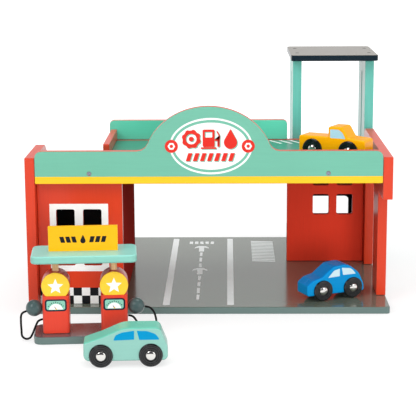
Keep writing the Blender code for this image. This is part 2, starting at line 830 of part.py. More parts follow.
# A bead with a short peg that sits in a bore in the pump's outer side
def make_nozzle(frame, body, side, word):
    radius = BEAD_D / 2
    peg = HOLDER_D / 2
    near = -sqrt(radius ** 2 - peg ** 2)
    last = pi - asin(peg / radius)
    profile = []
    for step in range(BEAD_STEPS + 1):
        angle = last * step / BEAD_STEPS
        profile.append((radius * sin(angle), radius * cos(angle)))
    profile[0] = (0, radius)
    profile[-1] = (peg, near)
    profile += [(peg, -radius - HOLDER_L), (0, -radius - HOLDER_L)]
    turn = (0, side * pi / 2, 0)
    place = (side * BEAD_X, -BEAD_FORWARD, BEAD_Z)
    turned("nozzle_" + word, profile, PEG_STEPS, BEAD, place, turn, frame)
    bore = rod_profile(peg + GAP, -radius + GAP, -radius - HOLDER_L - GAP)
    cut(body, as_cutter(turned("holder_" + word, bore, PEG_STEPS, BEAD, place, turn, frame)))


# The route's first and last steps stay straight, and the rest is a smooth curve read at even steps.
def smooth_route(route, spacing):
    points = [Vector(point) for point in route]
    fine = []
    for index in range(1, len(points) - 2):
        p0, p1, p2, p3 = points[index - 1:index + 3]
        for step in range(12):
            t = step / 12
            fine.append(0.5 * (2 * p1 + (p2 - p0) * t + (2 * p0 - 5 * p1 + 4 * p2 - p3) * t ** 2
                               + (3 * p1 - p0 - 3 * p2 + p3) * t ** 3))
    fine.append(points[-2])
    total = sum((after - before).length for before, after in zip(fine, fine[1:]))
    pace = total / ceil(total / spacing)
    even = [points[0], fine[0]]
    travelled = 0.0
    for before, after in zip(fine, fine[1:]):
        travelled += (after - before).length
        if travelled >= pace * (len(even) - 1) and travelled < total - pace / 2:
            even.append(after)
    return even + points[-2:]


def add_hose(name, route, frame):
    line = bpy.data.curves.new(name, "CURVE")
    line.dimensions = "3D"
    line.bevel_depth = HOSE_D / 2
    line.bevel_resolution = 2
    line.use_fill_caps = True
    points = smooth_route(route, HOSE_STEP * HOSE_D)
    spline = line.splines.new("POLY")
    spline.points.add(len(points) - 1)
    for place, point in zip(spline.points, points):
        place.co = (*point, 1)
    line.materials.append(RUBBER)
    item = bpy.data.objects.new(name, line)
    STATION.objects.link(item)
    item.parent = frame


# Cars: the nose points along +X of the car's frame, and the wheels stand on its XY plane
def make_car(name, side, axles, finish, location, heading):
    frame = add_frame(name, location, heading)
    length = max(corner[0] for corner in side)
    outline = rounded([(length / 2 - x, AXLE_Z + z, radius) for x, z, radius in side])
    body = board(name + "_body", [outline], CAR_W, finish, FLAT, ALONG_X, frame, CAR_EDGE)
    bore = AXLE_D / 2 + AXLE_FIT
    rim = WHEEL_D / 2
    dish = DISH_D / 2
    wheel = turned_mesh(name + "_wheel", [
        (bore, WHEEL_T - DISH_DEEP),
        (dish, WHEEL_T - DISH_DEEP),
        (dish + DISH_DEEP / 2, WHEEL_T),
        (rim - TYRE_ROUND, WHEEL_T),
        (rim, WHEEL_T - TYRE_ROUND),
        (rim, TYRE_BACK_ROUND),
        (rim - TYRE_BACK_ROUND, 0),
        (bore, 0),
    ], WHEEL_STEPS, closed=True)
    half = [
        (0, HUB_H),
        (HUB_CROWN_D / 2, HUB_CROWN_H),
        (HUB_D / 2, HUB_RIM_H),
        (HUB_D / 2, 0),
        (AXLE_D / 2, 0),
    ]
    top = [(radius, HUB_FACE + GAP + height) for radius, height in half]
    axle = turned_mesh(name + "_axle", top + [(radius, -height) for radius, height in reversed(top)], ROD_STEPS)
    hole = rod_profile(AXLE_D / 2 + AXLE_PLAY, CAR_W, -CAR_W)
    arch = rod_profile(rim + ARCH_CLEAR, CAR_W, WHEEL_SEAT - GAP)
    for word, behind_nose in zip(("front", "rear"), axles):
        label = "%s_%s" % (name, word)
        place = (length / 2 - behind_nose, 0, AXLE_Z)
        cut(body, as_cutter(turned(label + "_axle_hole", hole, ROD_STEPS, SLATE, place, ALONG_X, frame)))
        smooth(add_object(label + "_axle", axle.copy(), STEEL, place, ALONG_X, frame))
        for hand, sign in (("left", 1), ("right", -1)):
            outward = (-sign * pi / 2, 0, 0)
            hub = (place[0], sign * WHEEL_SEAT, AXLE_Z)
            pocket = "%s_%s_arch" % (label, hand)
            cut(body, as_cutter(turned(pocket, arch, DISC_STEPS, SLATE, place, outward, frame)))
            smooth(add_object("%s_%s_wheel" % (label, hand), wheel.copy(), SLATE, hub, outward, frame))


def make_cars():
    across, forward = GREEN_PAST_ISLAND
    green = (-SIDE + ISLAND_IN + across, FRONT - ISLAND_STEP + forward, 0)
    blue = (SIDE - BLUE_FROM_RIGHT, behind(BLUE_BEHIND), FLOOR)
    truck = (SIDE - TRUCK_FROM_RIGHT, behind(TRUCK_BEHIND), ON_DECK)
    make_car("green_car", GREEN_SIDE, GREEN_AXLES, MINT, green, GREEN_HEADING)
    make_car("blue_car", BLUE_SIDE, BLUE_AXLES, BLUE, blue, BLUE_HEADING)
    make_car("truck", TRUCK_SIDE, TRUCK_AXLES, ORANGE, truck, TRUCK_HEADING)


def fasten(fascia, deck, roof, panels):
    height = DECK_Z - BOARD / 2
    ahead = [(-FASCIA_SCREW_X, FRONT, height), (FASCIA_SCREW_X, FRONT, height)]
    screws(("fascia_screw_left", "fascia_screw_right"), ahead, ALONG_X, [fascia, deck])
    names = ("roof_screw_front_left", "roof_screw_rear_left", "roof_screw_front_right", "roof_screw_rear_right")
    above = []
    for x in (LIFT_LEFT + WALL / 2, SIDE - WALL / 2):
        for side in (-0.5, 0.5):
            above.append((x, behind(LIFT_MID) + side * ROOF_SCREW_PITCH, TOWER_Z))
    screws(names[:2], above[:2], FLAT, [roof, panels[0]])
    screws(names[2:], above[2:], FLAT, [roof, panels[1]])


def main():
    make_base()
    make_left_wall()
    make_right_wall()
    make_ramp()
    make_ramp_wall()
    fascia = make_fascia()
    deck = make_deck()
    make_rails()
    make_shop()
    make_window_wall()
    panels = make_lift_panels()
    roof = make_lift_roof()
    make_lift_back_wall()
    make_lift_car()
    fasten(fascia, deck, roof, panels)
    make_island()
    make_cars()


main()
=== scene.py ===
# Looks of the toy service station: lacquer, prints, turned pieces, hoses, light and camera.
# Units are metres, the front faces -Y, and the origin is the middle of the base plate's underside.
from math import asin, ceil, cos, pi, radians, sin, sqrt, tan

import bmesh
import bpy
from mathutils import Matrix, Vector


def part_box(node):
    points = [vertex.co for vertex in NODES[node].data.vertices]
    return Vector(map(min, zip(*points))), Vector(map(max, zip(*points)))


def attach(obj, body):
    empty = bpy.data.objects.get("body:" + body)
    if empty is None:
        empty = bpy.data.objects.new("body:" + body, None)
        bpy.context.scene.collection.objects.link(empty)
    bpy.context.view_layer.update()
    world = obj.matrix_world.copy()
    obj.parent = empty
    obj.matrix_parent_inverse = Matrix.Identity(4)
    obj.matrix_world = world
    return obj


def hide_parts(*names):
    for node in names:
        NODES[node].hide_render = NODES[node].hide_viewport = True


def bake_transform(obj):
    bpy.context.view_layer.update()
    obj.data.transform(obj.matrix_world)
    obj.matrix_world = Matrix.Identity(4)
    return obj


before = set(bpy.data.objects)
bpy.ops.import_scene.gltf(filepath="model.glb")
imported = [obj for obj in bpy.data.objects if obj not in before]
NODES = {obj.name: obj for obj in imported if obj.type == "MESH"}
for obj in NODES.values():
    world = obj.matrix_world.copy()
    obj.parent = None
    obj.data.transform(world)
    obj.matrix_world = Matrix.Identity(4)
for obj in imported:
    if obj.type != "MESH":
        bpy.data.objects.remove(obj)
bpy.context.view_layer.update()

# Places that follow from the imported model
FASCIA_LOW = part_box("fascia")[0]
FRONT = FASCIA_LOW.y
FLOOR_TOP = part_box("base_plate")[1].z
DECK_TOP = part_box("deck")[1].z
DECK_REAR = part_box("deck")[1].y
SHOP_LOW, SHOP_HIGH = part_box("shop_front")

# The pump island's own frame on the ground
ISLAND_ORIGIN = Vector((-0.144, -0.2907, 0))
ISLAND_TURN = radians(4.5)

# Points closer than this are one, and an edge that bends more than this stays sharp
WELD = 0.000002
CREASE = radians(35)

# Prints are thin films that lie on their carriers, and later layers lie on earlier ones
FILM = 0.00006
SUNK = 0.00002

# Prints on the base: places across it, and distances behind the front
LANE_X = -0.0152
STRIPE_SIDES = ((-0.0584, -0.0499), (0.0224, 0.0307))
STRIPE_NEAR = 0.0105
STRIPE_FAR = 0.377
DASH_W = 0.0036
DASHES = (
    (0.036, 0.059), (0.067, 0.092), (0.102, 0.1225), (0.133, 0.1545),
    (0.204, 0.2235), (0.236, 0.258), (0.2685, 0.290),
)
ARROW_TIPS = (0.1985, 0.3307)
ARROW_HALF = [(0.0048, 0.0015), (0.0095, 0.0075), (0.0105, 0.0155), (0.0037, 0.0095), (0.0037, 0.035)]
STOP_COUNT = 5
STOP_LEFT = -0.0335
STOP_PITCH = 0.0078
STOP_DASH = 0.0048
STOP_NEAR = 0.3435
STOP_FAR = 0.3590
PARKING_LEFT = 0.0577
PARKING_RIGHT = 0.0900
PARKING_NEAR = 0.2338
PARKING_DEPTH = 0.1282
PARKING_COUNT = 14
PARKING_SLOPE = 0.0034
PARKING_LINE = 0.0058

# White hatching on the deck
HATCH_START = 0.0790
HATCH_PITCH = 0.0141
HATCH_COUNT = 9
HATCH_W = 0.0042
HATCH_SLANT = 0.0150
HATCH_NEAR = 0.202
HATCH_FAR = 0.2295

# White frame and checker strip on the shop's front
WINDOW_X = 0.0512
WINDOW_Z = 0.0857
FRAME_SIDES = (-0.1978, -0.1250)
FRAME_LEVELS = (0.0514, 0.1374)
CHECKER_COLUMNS = 10
CHECKER_H = 0.01035
CHECKER_MARGIN = 0.0005

# Sizes shared with the solids
WHEEL_D = 0.0266
WHEEL_T = 0.007
WHEEL_PROUD = 0.0022
ARCH_CLEAR = 0.0010
AXLE_Z = WHEEL_D / 2
AXLE_D = 0.003
HUB_D = 0.011
CAR_W = 0.0288
CAR_EDGE = 0.0018
WHEEL_SEAT = CAR_W / 2 + WHEEL_PROUD - WHEEL_T
GAP = 0.0003
HEAD_D = 0.0332
HEAD_T = 0.0265
HEAD_Z = 0.0652
PUMP_PITCH = 0.0678
PUMP_D = 0.029
PUMP_OUT = 0.0496
BEAD_D = 0.0195
BEAD_Z = 0.0380
BEAD_FORWARD = 0.004
HOLDER_D = 0.005
HOLDER_L = 0.0085
HOSE_D = 0.0025
CANOPY_SIZE = (0.122, 0.060, 0.009)
CANOPY_R = 0.008
SIGN_T = 0.005
PANE = (0.0230, 0.0312)
PANE_PITCH = (0.0334, 0.0405)
PANE_R = 0.0025

# Side outlines of the cars: distance behind the nose, height over the axles, corner radius
GREEN_SIDE = [
    (0.0000, -0.0064, 0.007),
    (0.0003, 0.0143, 0.005),
    (0.0200, 0.0209, 0.060),
    (0.0440, 0.0312, 0.030),
    (0.0840, 0.0310, 0.007),
    (0.0929, 0.0088, 0.012),
    (0.0927, -0.0064, 0.007),
]
BLUE_SIDE = [
    (0.0000, -0.0059, 0.003),
    (0.0000, 0.0080, 0.003),
    (0.0080, 0.0140, 0.008),
    (0.0205, 0.0171, 0.008),
    (0.0370, 0.0296, 0.012),
    (0.0575, 0.0312, 0.020),
    (0.0735, 0.0187, 0.020),
    (0.0808, 0.0028, 0.008),
    (0.0811, -0.0058, 0.003),
]
TRUCK_SIDE = [
    (0.0000, -0.0058, 0.0025),
    (0.0000, 0.0148, 0.004),
    (0.0232, 0.0167, 0.003),
    (0.0314, 0.0300, 0.004),
    (0.0498, 0.0300, 0.003),
    (0.0497, 0.0167, 0.001),
    (0.0900, 0.0166, 0.003),
    (0.0900, -0.0058, 0.0025),
]

# Axles behind each car's nose, front and rear
GREEN_AXLES = (0.0193, 0.0740)
BLUE_AXLES = (0.0221, 0.0646)
TRUCK_AXLES = (0.0222, 0.0712)

# Windows printed on the cars' sides: distance behind the nose, height over the ground, corner radius
GREEN_PANES = [
    [(0.0330, 0.0306, 0.001), (0.0357, 0.0365, 0.004), (0.0430, 0.0397, 0.012), (0.0561, 0.0414, 0.001),
     (0.0561, 0.0313, 0.0005)],
    [(0.0590, 0.0412, 0.0005), (0.0703, 0.0408, 0.012), (0.0798, 0.0372, 0.008), (0.0840, 0.0308, 0.002),
     (0.0615, 0.0309, 0.001)],
]
BLUE_PANES = [
    [(0.0290, 0.0291, 0.0005), (0.0375, 0.0378, 0.006), (0.0455, 0.0395, 0.0005), (0.0456, 0.0298, 0.0005)],
    [(0.0484, 0.0403, 0.0005), (0.0620, 0.0385, 0.009), (0.0688, 0.0307, 0.001), (0.0504, 0.0308, 0.0005)],
]
TRUCK_PANES = [
    [(0.0262, 0.0288, 0.0006), (0.0300, 0.0360, 0.008), (0.0352, 0.0399, 0.004), (0.0470, 0.0398, 0.0012),
     (0.0468, 0.0289, 0.0008)],
]

# Routes of the hoses in the island's frame, from the bead round a loop to the pump's side
LEFT_HOSE = [
    (-0.0690, -0.0042, 0.0344),
    (-0.0720, -0.0043, 0.0332),
    (-0.0749, -0.0053, 0.0298),
    (-0.0753, -0.0068, 0.0213),
    (-0.0749, -0.0079, 0.0131),
    (-0.0743, -0.0083, 0.0056),
    (-0.0702, -0.0085, 0.0021),
    (-0.0652, -0.0083, 0.0031),
    (-0.0619, -0.0078, 0.0082),
    (-0.0602, -0.0070, 0.0123),
    (-0.0582, -0.0061, 0.0169),
    (-0.0557, -0.0053, 0.0218),
    (-0.0522, -0.0046, 0.0238),
    (-0.0499, -0.0046, 0.0243),
]
RIGHT_HOSE = [
    (0.0697, -0.0040, 0.0369),
    (0.0721, -0.0040, 0.0366),
    (0.0768, -0.0048, 0.0346),
    (0.0807, -0.0062, 0.0291),
    (0.0828, -0.0074, 0.0199),
    (0.0820, -0.0082, 0.0106),
    (0.0780, -0.0086, 0.0041),
    (0.0722, -0.0086, 0.0019),
    (0.0670, -0.0082, 0.0050),
    (0.0634, -0.0074, 0.0116),
    (0.0601, -0.0062, 0.0190),
    (0.0562, -0.0050, 0.0246),
    (0.0522, -0.0046, 0.0265),
    (0.0499, -0.0046, 0.0268),
]


def add_object(name, data):
    item = bpy.data.objects.new(name, data)
    bpy.context.scene.collection.objects.link(item)
    return item


# Camera at the photograph's place and angle, worked out for a square frame
def add_camera():
    place = (0.02382, -1.85672, 0.48082)
    yaw = -0.0149
    pitch = -0.2051
    roll = -0.0052
    frame_pixels = 416
    focal_pixels = 1384.66
    ahead = Vector((sin(yaw) * cos(pitch), cos(yaw) * cos(pitch), sin(pitch)))
    level = Vector((cos(yaw), -sin(yaw), 0))
    above = level.cross(ahead)
    right = level * cos(roll) + above * sin(roll)
    up = above * cos(roll) - level * sin(roll)
    lens = bpy.data.cameras.new("photo_camera")
    lens.sensor_fit = "HORIZONTAL"
    lens.sensor_width = 36
    lens.lens = lens.sensor_width * focal_pixels / frame_pixels
    lens.clip_start = 0.05
    lens.clip_end = 60
    camera = add_object("photo_camera", lens)
    turned_to = Matrix((right, up, -ahead)).transposed().to_4x4()
    turned_to.translation = place
    camera.matrix_world = turned_to
    bpy.context.scene.camera = camera


# A round lamp that shines on the middle of the station
def add_lamp(name, place, size, power, mirrored=True):
    aim = Vector((0, 0, 0.1))
    light = bpy.data.lights.new(name, "AREA")
    light.shape = "DISK"
    light.size = size
    light.energy = power
    lamp = add_object(name, light)
    lamp.location = place
    lamp.rotation_euler = (aim - Vector(place)).to_track_quat("-Z", "Y").to_euler()
    lamp.visible_glossy = mirrored


# Colours are written as seen on a screen, 0 to 255
def shade(red, green, blue):
    channels = []
    for value in (red / 255, green / 255, blue / 255):
        channels.append(value / 12.92 if value <= 0.04045 else ((value + 0.055) / 1.055) ** 2.4)
    return (*channels, 1.0)


class Network:
    """Nodes and the links between them."""

    def __init__(self, tree):
        self.nodes = tree.nodes
        self.links = tree.links

    def feed(self, socket, value):
        if isinstance(value, bpy.types.NodeSocket):
            self.links.new(value, socket)
        else:
            socket.default_value = value

    def maths(self, operation, *values):
        node = self.nodes.new("ShaderNodeMath")
        node.operation = operation
        for socket, value in zip(node.inputs, values):
            self.feed(socket, value)
        return node.outputs[0]

    def axis(self, vector, letter):
        node = self.nodes.new("ShaderNodeSeparateXYZ")
        self.links.new(vector, node.inputs[0])
        return node.outputs[letter]

    # A value from start to end is stretched to low to high, and stops there
    def spread(self, value, low, high, start=0.3, end=0.7):
        node = self.nodes.new("ShaderNodeMapRange")
        for socket, number in zip(node.inputs[1:5], (start, end, low, high)):
            socket.default_value = number
        self.links.new(value, node.inputs[0])
        return node.outputs["Result"]

    def within(self, value, low, high):
        above = self.maths("GREATER_THAN", value, low)
        return self.maths("MULTIPLY", above, self.maths("LESS_THAN", value, high))

    def mix(self, factor, first, second):
        node = self.nodes.new("ShaderNodeMix")
        node.data_type = "RGBA"
        self.feed(node.inputs[0], factor)
        self.feed(node.inputs[6], first)
        self.feed(node.inputs[7], second)
        return node.outputs[2]


class Surface(Network):
    """A material built up from nodes around one Principled shader."""

    def __init__(self, name, coat=0.0, metallic=0.0, sheen=0.0, specular=0.5):
        self.material = bpy.data.materials.new(name)
        self.material.use_nodes = True
        super().__init__(self.material.node_tree)
        self.shader = self.nodes["Principled BSDF"]
        self.shader.inputs["Metallic"].default_value = metallic
        self.shader.inputs["Coat Weight"].default_value = coat
        self.shader.inputs["Coat Roughness"].default_value = 0.12
        self.shader.inputs["Specular IOR Level"].default_value = specular
        self.shader.inputs["Sheen Weight"].default_value = sheen
        source = self.nodes.new("ShaderNodeTexCoord")
        self.place = source.outputs["Object"]
        self.normal = source.outputs["Normal"]

    def noise(self, scale, detail=2.0, stretch=(1, 1, 1), distortion=0.0):
        mapping = self.nodes.new("ShaderNodeMapping")
        mapping.inputs["Scale"].default_value = stretch
        self.links.new(self.place, mapping.inputs["Vector"])
        node = self.nodes.new("ShaderNodeTexNoise")
        node.inputs["Scale"].default_value = scale
        node.inputs["Detail"].default_value = detail
        node.inputs["Distortion"].default_value = distortion
        self.links.new(mapping.outputs[0], node.inputs["Vector"])
        return node.outputs["Fac"]

    def dim(self, colour, amount):
        node = self.nodes.new("ShaderNodeVectorMath")
        node.operation = "SCALE"
        self.feed(node.inputs[0], colour if isinstance(colour, bpy.types.NodeSocket) else colour[:3])
        self.feed(node.inputs["Scale"], amount)
        return node.outputs[0]

    def relief(self, height, strength, distance):
        node = self.nodes.new("ShaderNodeBump")
        node.inputs["Strength"].default_value = strength
        node.inputs["Distance"].default_value = distance
        self.links.new(height, node.inputs["Height"])
        self.links.new(node.outputs[0], self.shader.inputs["Normal"])

    def finish(self, colour, roughness):
        self.feed(self.shader.inputs["Base Color"], colour)
        self.feed(self.shader.inputs["Roughness"], roughness)
        return self.material


# Parts of a surface that take another colour, by where they face or lie
def facing(letter, sign, limit=0.75):
    def mask(made):
        side = made.axis(made.normal, letter)
        if sign == 0:
            side = made.maths("ABSOLUTE", side)
        elif sign < 0:
            side = made.maths("MULTIPLY", side, -1.0)
        return made.maths("GREATER_THAN", side, limit)
    return mask


def lying(letter, low, high):
    return lambda made: made.within(made.axis(made.place, letter), low, high)


def both(first, second):
    return lambda made: made.maths("MULTIPLY", first(made), second(made))


# Lacquer over wood: faint mottling, faint grain lines along one axis and a fine orange peel
def lacquer(name, colour, roughness=0.30, grain=0.02, along="X", coat=0.10, layers=(), peel=0.06,
            specular=0.3):
    made = Surface(name, coat, specular=specular)
    stretch = [1.0, 1.0, 1.0]
    stretch["XYZ".index(along)] = 0.05
    streak = made.noise(520, 3, stretch, 0.4)
    mottle = made.noise(14, 2)
    tint = shade(*colour)
    for mask, other in layers:
        tint = made.mix(mask(made), tint, shade(*other))
    lines = made.spread(streak, 1 - grain, 1 + grain)
    amount = made.maths("MULTIPLY", made.spread(mottle, 0.985, 1.015), lines)
    height = made.maths("MULTIPLY_ADD", made.noise(900, 2), 0.6, streak)
    made.relief(height, peel, 0.0002)
    worn = made.spread(made.noise(60, 4), roughness * 0.95, roughness * 1.06)
    return made.finish(made.dim(tint, amount), worn)


# Bare wood: bands of early and late growth, fine pores and a dry surface
def bare_wood(name, colour, along="Z"):
    made = Surface(name, 0.05)
    stretch = [1.0, 1.0, 1.0]
    stretch["XYZ".index(along)] = 0.06
    bands = made.noise(260, 4, stretch, 1.2)
    pores = made.noise(1800, 2, stretch)
    dark = shade(*[channel * 0.80 for channel in colour])
    tint = made.mix(made.spread(bands, 0.0, 1.0), dark, shade(*colour))
    amount = made.spread(pores, 0.93, 1.04)
    made.relief(made.maths("ADD", bands, pores), 0.25, 0.0002)
    return made.finish(made.dim(tint, amount), made.spread(bands, 0.62, 0.5))


# Ink: a thin dry print with slight fading
def ink(name, colour, roughness=0.38, fade=0.03, coat=0.0, specular=0.15):
    made = Surface(name, coat, specular=specular)
    speck = made.noise(700, 3)
    cloud = made.noise(45, 3)
    specks = made.spread(speck, 1 - fade, 1 + fade / 3)
    amount = made.maths("MULTIPLY", specks, made.spread(cloud, 0.97, 1.02))
    made.relief(speck, 0.06, 0.0001)
    worn = made.spread(cloud, roughness * 0.9, roughness * 1.15)
    return made.finish(made.dim(shade(*colour), amount), worn)


# Plated steel with fine rubbed marks
def plated_steel(name, colour, roughness):
    made = Surface(name, 0.0, 1.0)
    rub = made.noise(1400, 2, (1, 1, 0.2))
    made.relief(rub, 0.03, 0.0001)
    worn = made.spread(rub, roughness * 0.7, roughness * 1.3)
    return made.finish(made.dim(shade(*colour), made.spread(rub, 0.96, 1.02)), worn)


# Elastic cord with a fine woven surface
def elastic(name, colour):
    made = Surface(name, sheen=0.05, specular=0.2)
    weave = made.noise(2600, 2)
    made.relief(weave, 0.3, 0.0002)
    tint = made.dim(shade(*colour), made.spread(weave, 0.8, 1.25))
    return made.finish(tint, made.spread(weave, 0.5, 0.65))


# Colours of boards and cars, and the finishes made from them
RED = (217, 64, 35)
TEAL = (112, 184, 160)
TOWER_TEAL = (104, 192, 178)
WHITE = (252, 253, 251)
SLATE_EDGE = (98, 120, 116)
# Tops of the base and the island: the slate paint of their edges with a painted reflection, greyer and
# warmer
ROAD = (102, 110, 98)
ISLAND_TOP = (90, 93, 96)

RED_BOARD = lacquer("red_lacquer", RED, along="Z")
RED_RAIL = lacquer("red_rail_lacquer", RED, along="Y", specular=0.6)
# The window wall takes a lighter copy of the red paint: painted light on the wall that stands in the shade
# under the deck
WINDOW_WALL_PAINTED_LIGHT = lacquer("window_wall_lacquer", (236, 64, 42), 0.4, along="Z", coat=0.0, specular=0.1)
# The shop's partition takes a dark maroon copy of the red paint: painted shade on the side that faces away
# from the lamps
PARTITION_PAINTED_SHADE = lacquer("shop_partition_painted_shade", (158, 44, 38), 0.6, along="Z", coat=0.0, specular=0.0)
FASCIA_PAINT = lacquer("fascia_lacquer", RED, layers=[
    (facing("Y", 0), TEAL),
    (both(facing("Y", -1), lying("Z", 0, FASCIA_LOW.z + 0.0090)), (255, 200, 34)),
])
DECK_PAINT = lacquer("deck_lacquer", RED, layers=[
    # The deck's top takes a darker teal than its underside: painted shade behind the fascia; the red strip
    # at its rear is paint
    (both(facing("Z", 1), lying("Y", -1, DECK_REAR - 0.014)), (72, 148, 124)),
    (facing("Z", -1), TEAL),
])
BACK_RAIL_PAINT = lacquer("back_rail_lacquer", RED, layers=[(facing("Y", 0), (102, 214, 184))])
# The tops take a greyer, warmer copy of the slate paint: painted reflection on the glossy tops
BASE_PAINT = lacquer("road_lacquer", SLATE_EDGE, 0.18, coat=0.5, layers=[(facing("Z", 1), ROAD)], peel=0.02)
ISLAND_PAINT = lacquer("island_lacquer", SLATE_EDGE, 0.18, coat=0.5, layers=[
    (facing("Z", 1), ISLAND_TOP),
], peel=0.02)
TOWER_PAINT = lacquer("tower_lacquer", TOWER_TEAL, along="Z", grain=0.03)
# The roof's top takes light grey over the navy paint: a painted reflection of the bright sky on the glossy
# navy
ROOF_PAINT = lacquer("roof_lacquer", (12, 32, 44), 0.24, coat=0.0, specular=0.1, layers=[
    (facing("Z", 1), (142, 137, 130)),
])
# Near-black paint for the shop's back and the lift's back wall: painted shade inside the shop and behind the
# lift
SHADE_BLACK_PAINT = lacquer("painted_shade_black", (16, 18, 22), 0.5, coat=0.0, specular=0.15)
LIFT_PAINT = lacquer("lift_car_lacquer", (34, 46, 58), 0.32)
# The canopy's top takes a lighter copy of the mint paint: painted light on the face that looks up
MINT_PAINT = lacquer("canopy_lacquer", (136, 198, 184), 0.34, layers=[(facing("Z", 1), (140, 208, 198))])
SIGN_PAINT = lacquer("sign_lacquer", (246, 180, 0), 0.34, peel=0.2)
PUMP_PAINT = lacquer("pump_lacquer", (224, 66, 45), 0.3, along="Z")
HEAD_PAINT = lacquer("pump_head_lacquer", (214, 60, 50), 0.28, along="Z", layers=[
    (facing("Z", 0, 0.45), (255, 208, 58)),
])
# Each car's up-facing faces take a darker copy of its paint than its sides: painted shade on the tops
GREEN_PAINT = lacquer("green_car_lacquer", (142, 194, 182), 0.26, coat=0.0, specular=0.2, layers=[
    (facing("Y", 1, 0.45), (100, 186, 164)),
])
BLUE_PAINT = lacquer("blue_car_lacquer", (0, 142, 208), 0.26, coat=0.0, specular=0.15, layers=[
    (facing("Y", 1, 0.45), (0, 128, 204)),
])
ORANGE_PAINT = lacquer("truck_lacquer", (255, 174, 2), 0.26, coat=0.0, specular=0.15, layers=[
    (facing("Y", 1, 0.45), (255, 168, 0)),
])
WHEEL_PAINT = lacquer("wheel_lacquer", (10, 13, 16), 0.14, coat=0.7)
BEAD_PAINT = lacquer("bead_stain", (68, 88, 88), 0.32, 0.08, along="Z", coat=0.35)
POST_WOOD = bare_wood("post_birch", (250, 204, 150))
CHROME = plated_steel("hubcap_chrome", (232, 230, 226), 0.09)
STEEL = plated_steel("screw_steel", (152, 156, 172), 0.30)
# Dark paint for the screws off the fascia, in place of steel: a painted dark reflection
SCREW_PAINTED_DARK = lacquer("roof_screw_painted_reflection", (40, 36, 32), 0.5, coat=0.0, specular=0.1)
CORD = elastic("elastic_cord", (10, 10, 11))
WHITE_INK = ink("white_ink", WHITE)
ROAD_INK = ink("road_ink", (244, 246, 246), 0.24, coat=0.5, specular=0.3)
BLACK_INK = ink("black_ink", (24, 26, 30))
RED_INK = ink("red_ink", (226, 50, 40))
TEAL_INK = ink("teal_ink", (112, 190, 170))
MINT_INK = ink("mint_ink", (142, 204, 182))
NAVY_INK = ink("navy_ink", (24, 38, 52))
YELLOW_INK = ink("yellow_ink", (250, 206, 60))
GREEN_GLASS = ink("green_car_glass_ink", (0, 146, 198))
BLUE_GLASS = ink("blue_car_glass_ink", (206, 232, 240))
TRUCK_GLASS = ink("truck_glass_ink", (176, 214, 230))


# Nodes that show a packed board's flat faces flat and its rounded edges smooth
def edge_shading():
    tree = bpy.data.node_groups.new("soft_edges", "GeometryNodeTree")
    tree.interface.new_socket("Geometry", in_out="INPUT", socket_type="NodeSocketGeometry")
    tree.interface.new_socket("Geometry", in_out="OUTPUT", socket_type="NodeSocketGeometry")
    start = tree.nodes.new("NodeGroupInput")
    merge = tree.nodes.new("GeometryNodeMergeByDistance")
    merge.inputs["Distance"].default_value = WELD
    whole = tree.nodes.new("GeometryNodeSetShadeSmooth")
    angle = tree.nodes.new("GeometryNodeInputMeshEdgeAngle")
    sharp = tree.nodes.new("FunctionNodeCompare")
    sharp.operation = "GREATER_THAN"
    sharp.inputs[1].default_value = CREASE
    crease = tree.nodes.new("GeometryNodeSetShadeSmooth")
    crease.domain = "EDGE"
    crease.inputs["Shade Smooth"].default_value = False
    end = tree.nodes.new("NodeGroupOutput")
    tree.links.new(start.outputs[0], merge.inputs["Geometry"])
    tree.links.new(merge.outputs[0], whole.inputs["Geometry"])
    tree.links.new(whole.outputs[0], crease.inputs["Geometry"])
    tree.links.new(angle.outputs["Unsigned Angle"], sharp.inputs[0])
    tree.links.new(sharp.outputs[0], crease.inputs["Selection"])
    tree.links.new(crease.outputs[0], end.inputs[0])
    return tree


SOFT_EDGES = edge_shading()


# Large flat faces decide how the rounded edges beside them are shaded
def weigh_normals(item):
    weighted = item.modifiers.new("flat_faces", "WEIGHTED_NORMAL")
    weighted.mode = "FACE_AREA"
    weighted.keep_sharp = True


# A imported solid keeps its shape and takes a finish
def dress(name, finish):
    node = NODES[name]
    node.data.materials.clear()
    node.data.materials.append(finish)
    shading = node.modifiers.new("soft_edges", "NODES")
    shading.node_group = SOFT_EDGES
    weigh_normals(node)


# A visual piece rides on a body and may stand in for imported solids
def add_piece(name, mesh, finish, matrix, body, replaced=()):
    mesh.materials.clear()
    mesh.materials.append(finish)
    item = add_object(name, mesh)
    item.matrix_world = matrix
    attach(item, body)
    if replaced:
        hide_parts(*replaced)
    return item


def smooth(mesh, angle=32):
    mesh.shade_smooth()
    mesh.set_sharp_from_angle(angle=radians(angle))
    return mesh


# The mesh that an object's modifiers or curve give; the object itself is removed
def evaluated(item, name):
    bpy.context.view_layer.update()
    seen = item.evaluated_get(bpy.context.evaluated_depsgraph_get())
    mesh = bpy.data.meshes.new_from_object(seen)
    mesh.name = name
    bpy.data.objects.remove(item)
    return mesh


# Corners of an outline, each (u, v, radius), become arcs that end on the two edges beside them
def rounded(corners, steps=6):
    points = []
    count = len(corners)
    for index, (u, v, radius) in enumerate(corners):
        here = Vector((u, v))
        last = corners[index - 1]
        following = corners[(index + 1) % count]
        back = Vector(last[:2]) - here
        ahead = Vector(following[:2]) - here
        half = back.angle(ahead) / 2
        if radius <= 0 or half > pi / 2 - 0.001:
            points.append((u, v))
            continue
        room_back = 0.98 * back.length * radius / (radius + last[2])
        room_ahead = 0.98 * ahead.length * radius / (radius + following[2])
        reach = min(radius / tan(half), room_back, room_ahead)
        real = reach * tan(half)
        toward = (back.normalized() + ahead.normalized()).normalized()
        centre = here + toward * (real / sin(half))
        start = here + back.normalized() * reach - centre
        sweep = start.angle_signed(here + ahead.normalized() * reach - centre)
        for step in range(steps + 1):
            angle = -sweep * step / steps
            x = start.x * cos(angle) - start.y * sin(angle)
            y = start.x * sin(angle) + start.y * cos(angle)
            points.append((centre.x + x, centre.y + y))
    return points


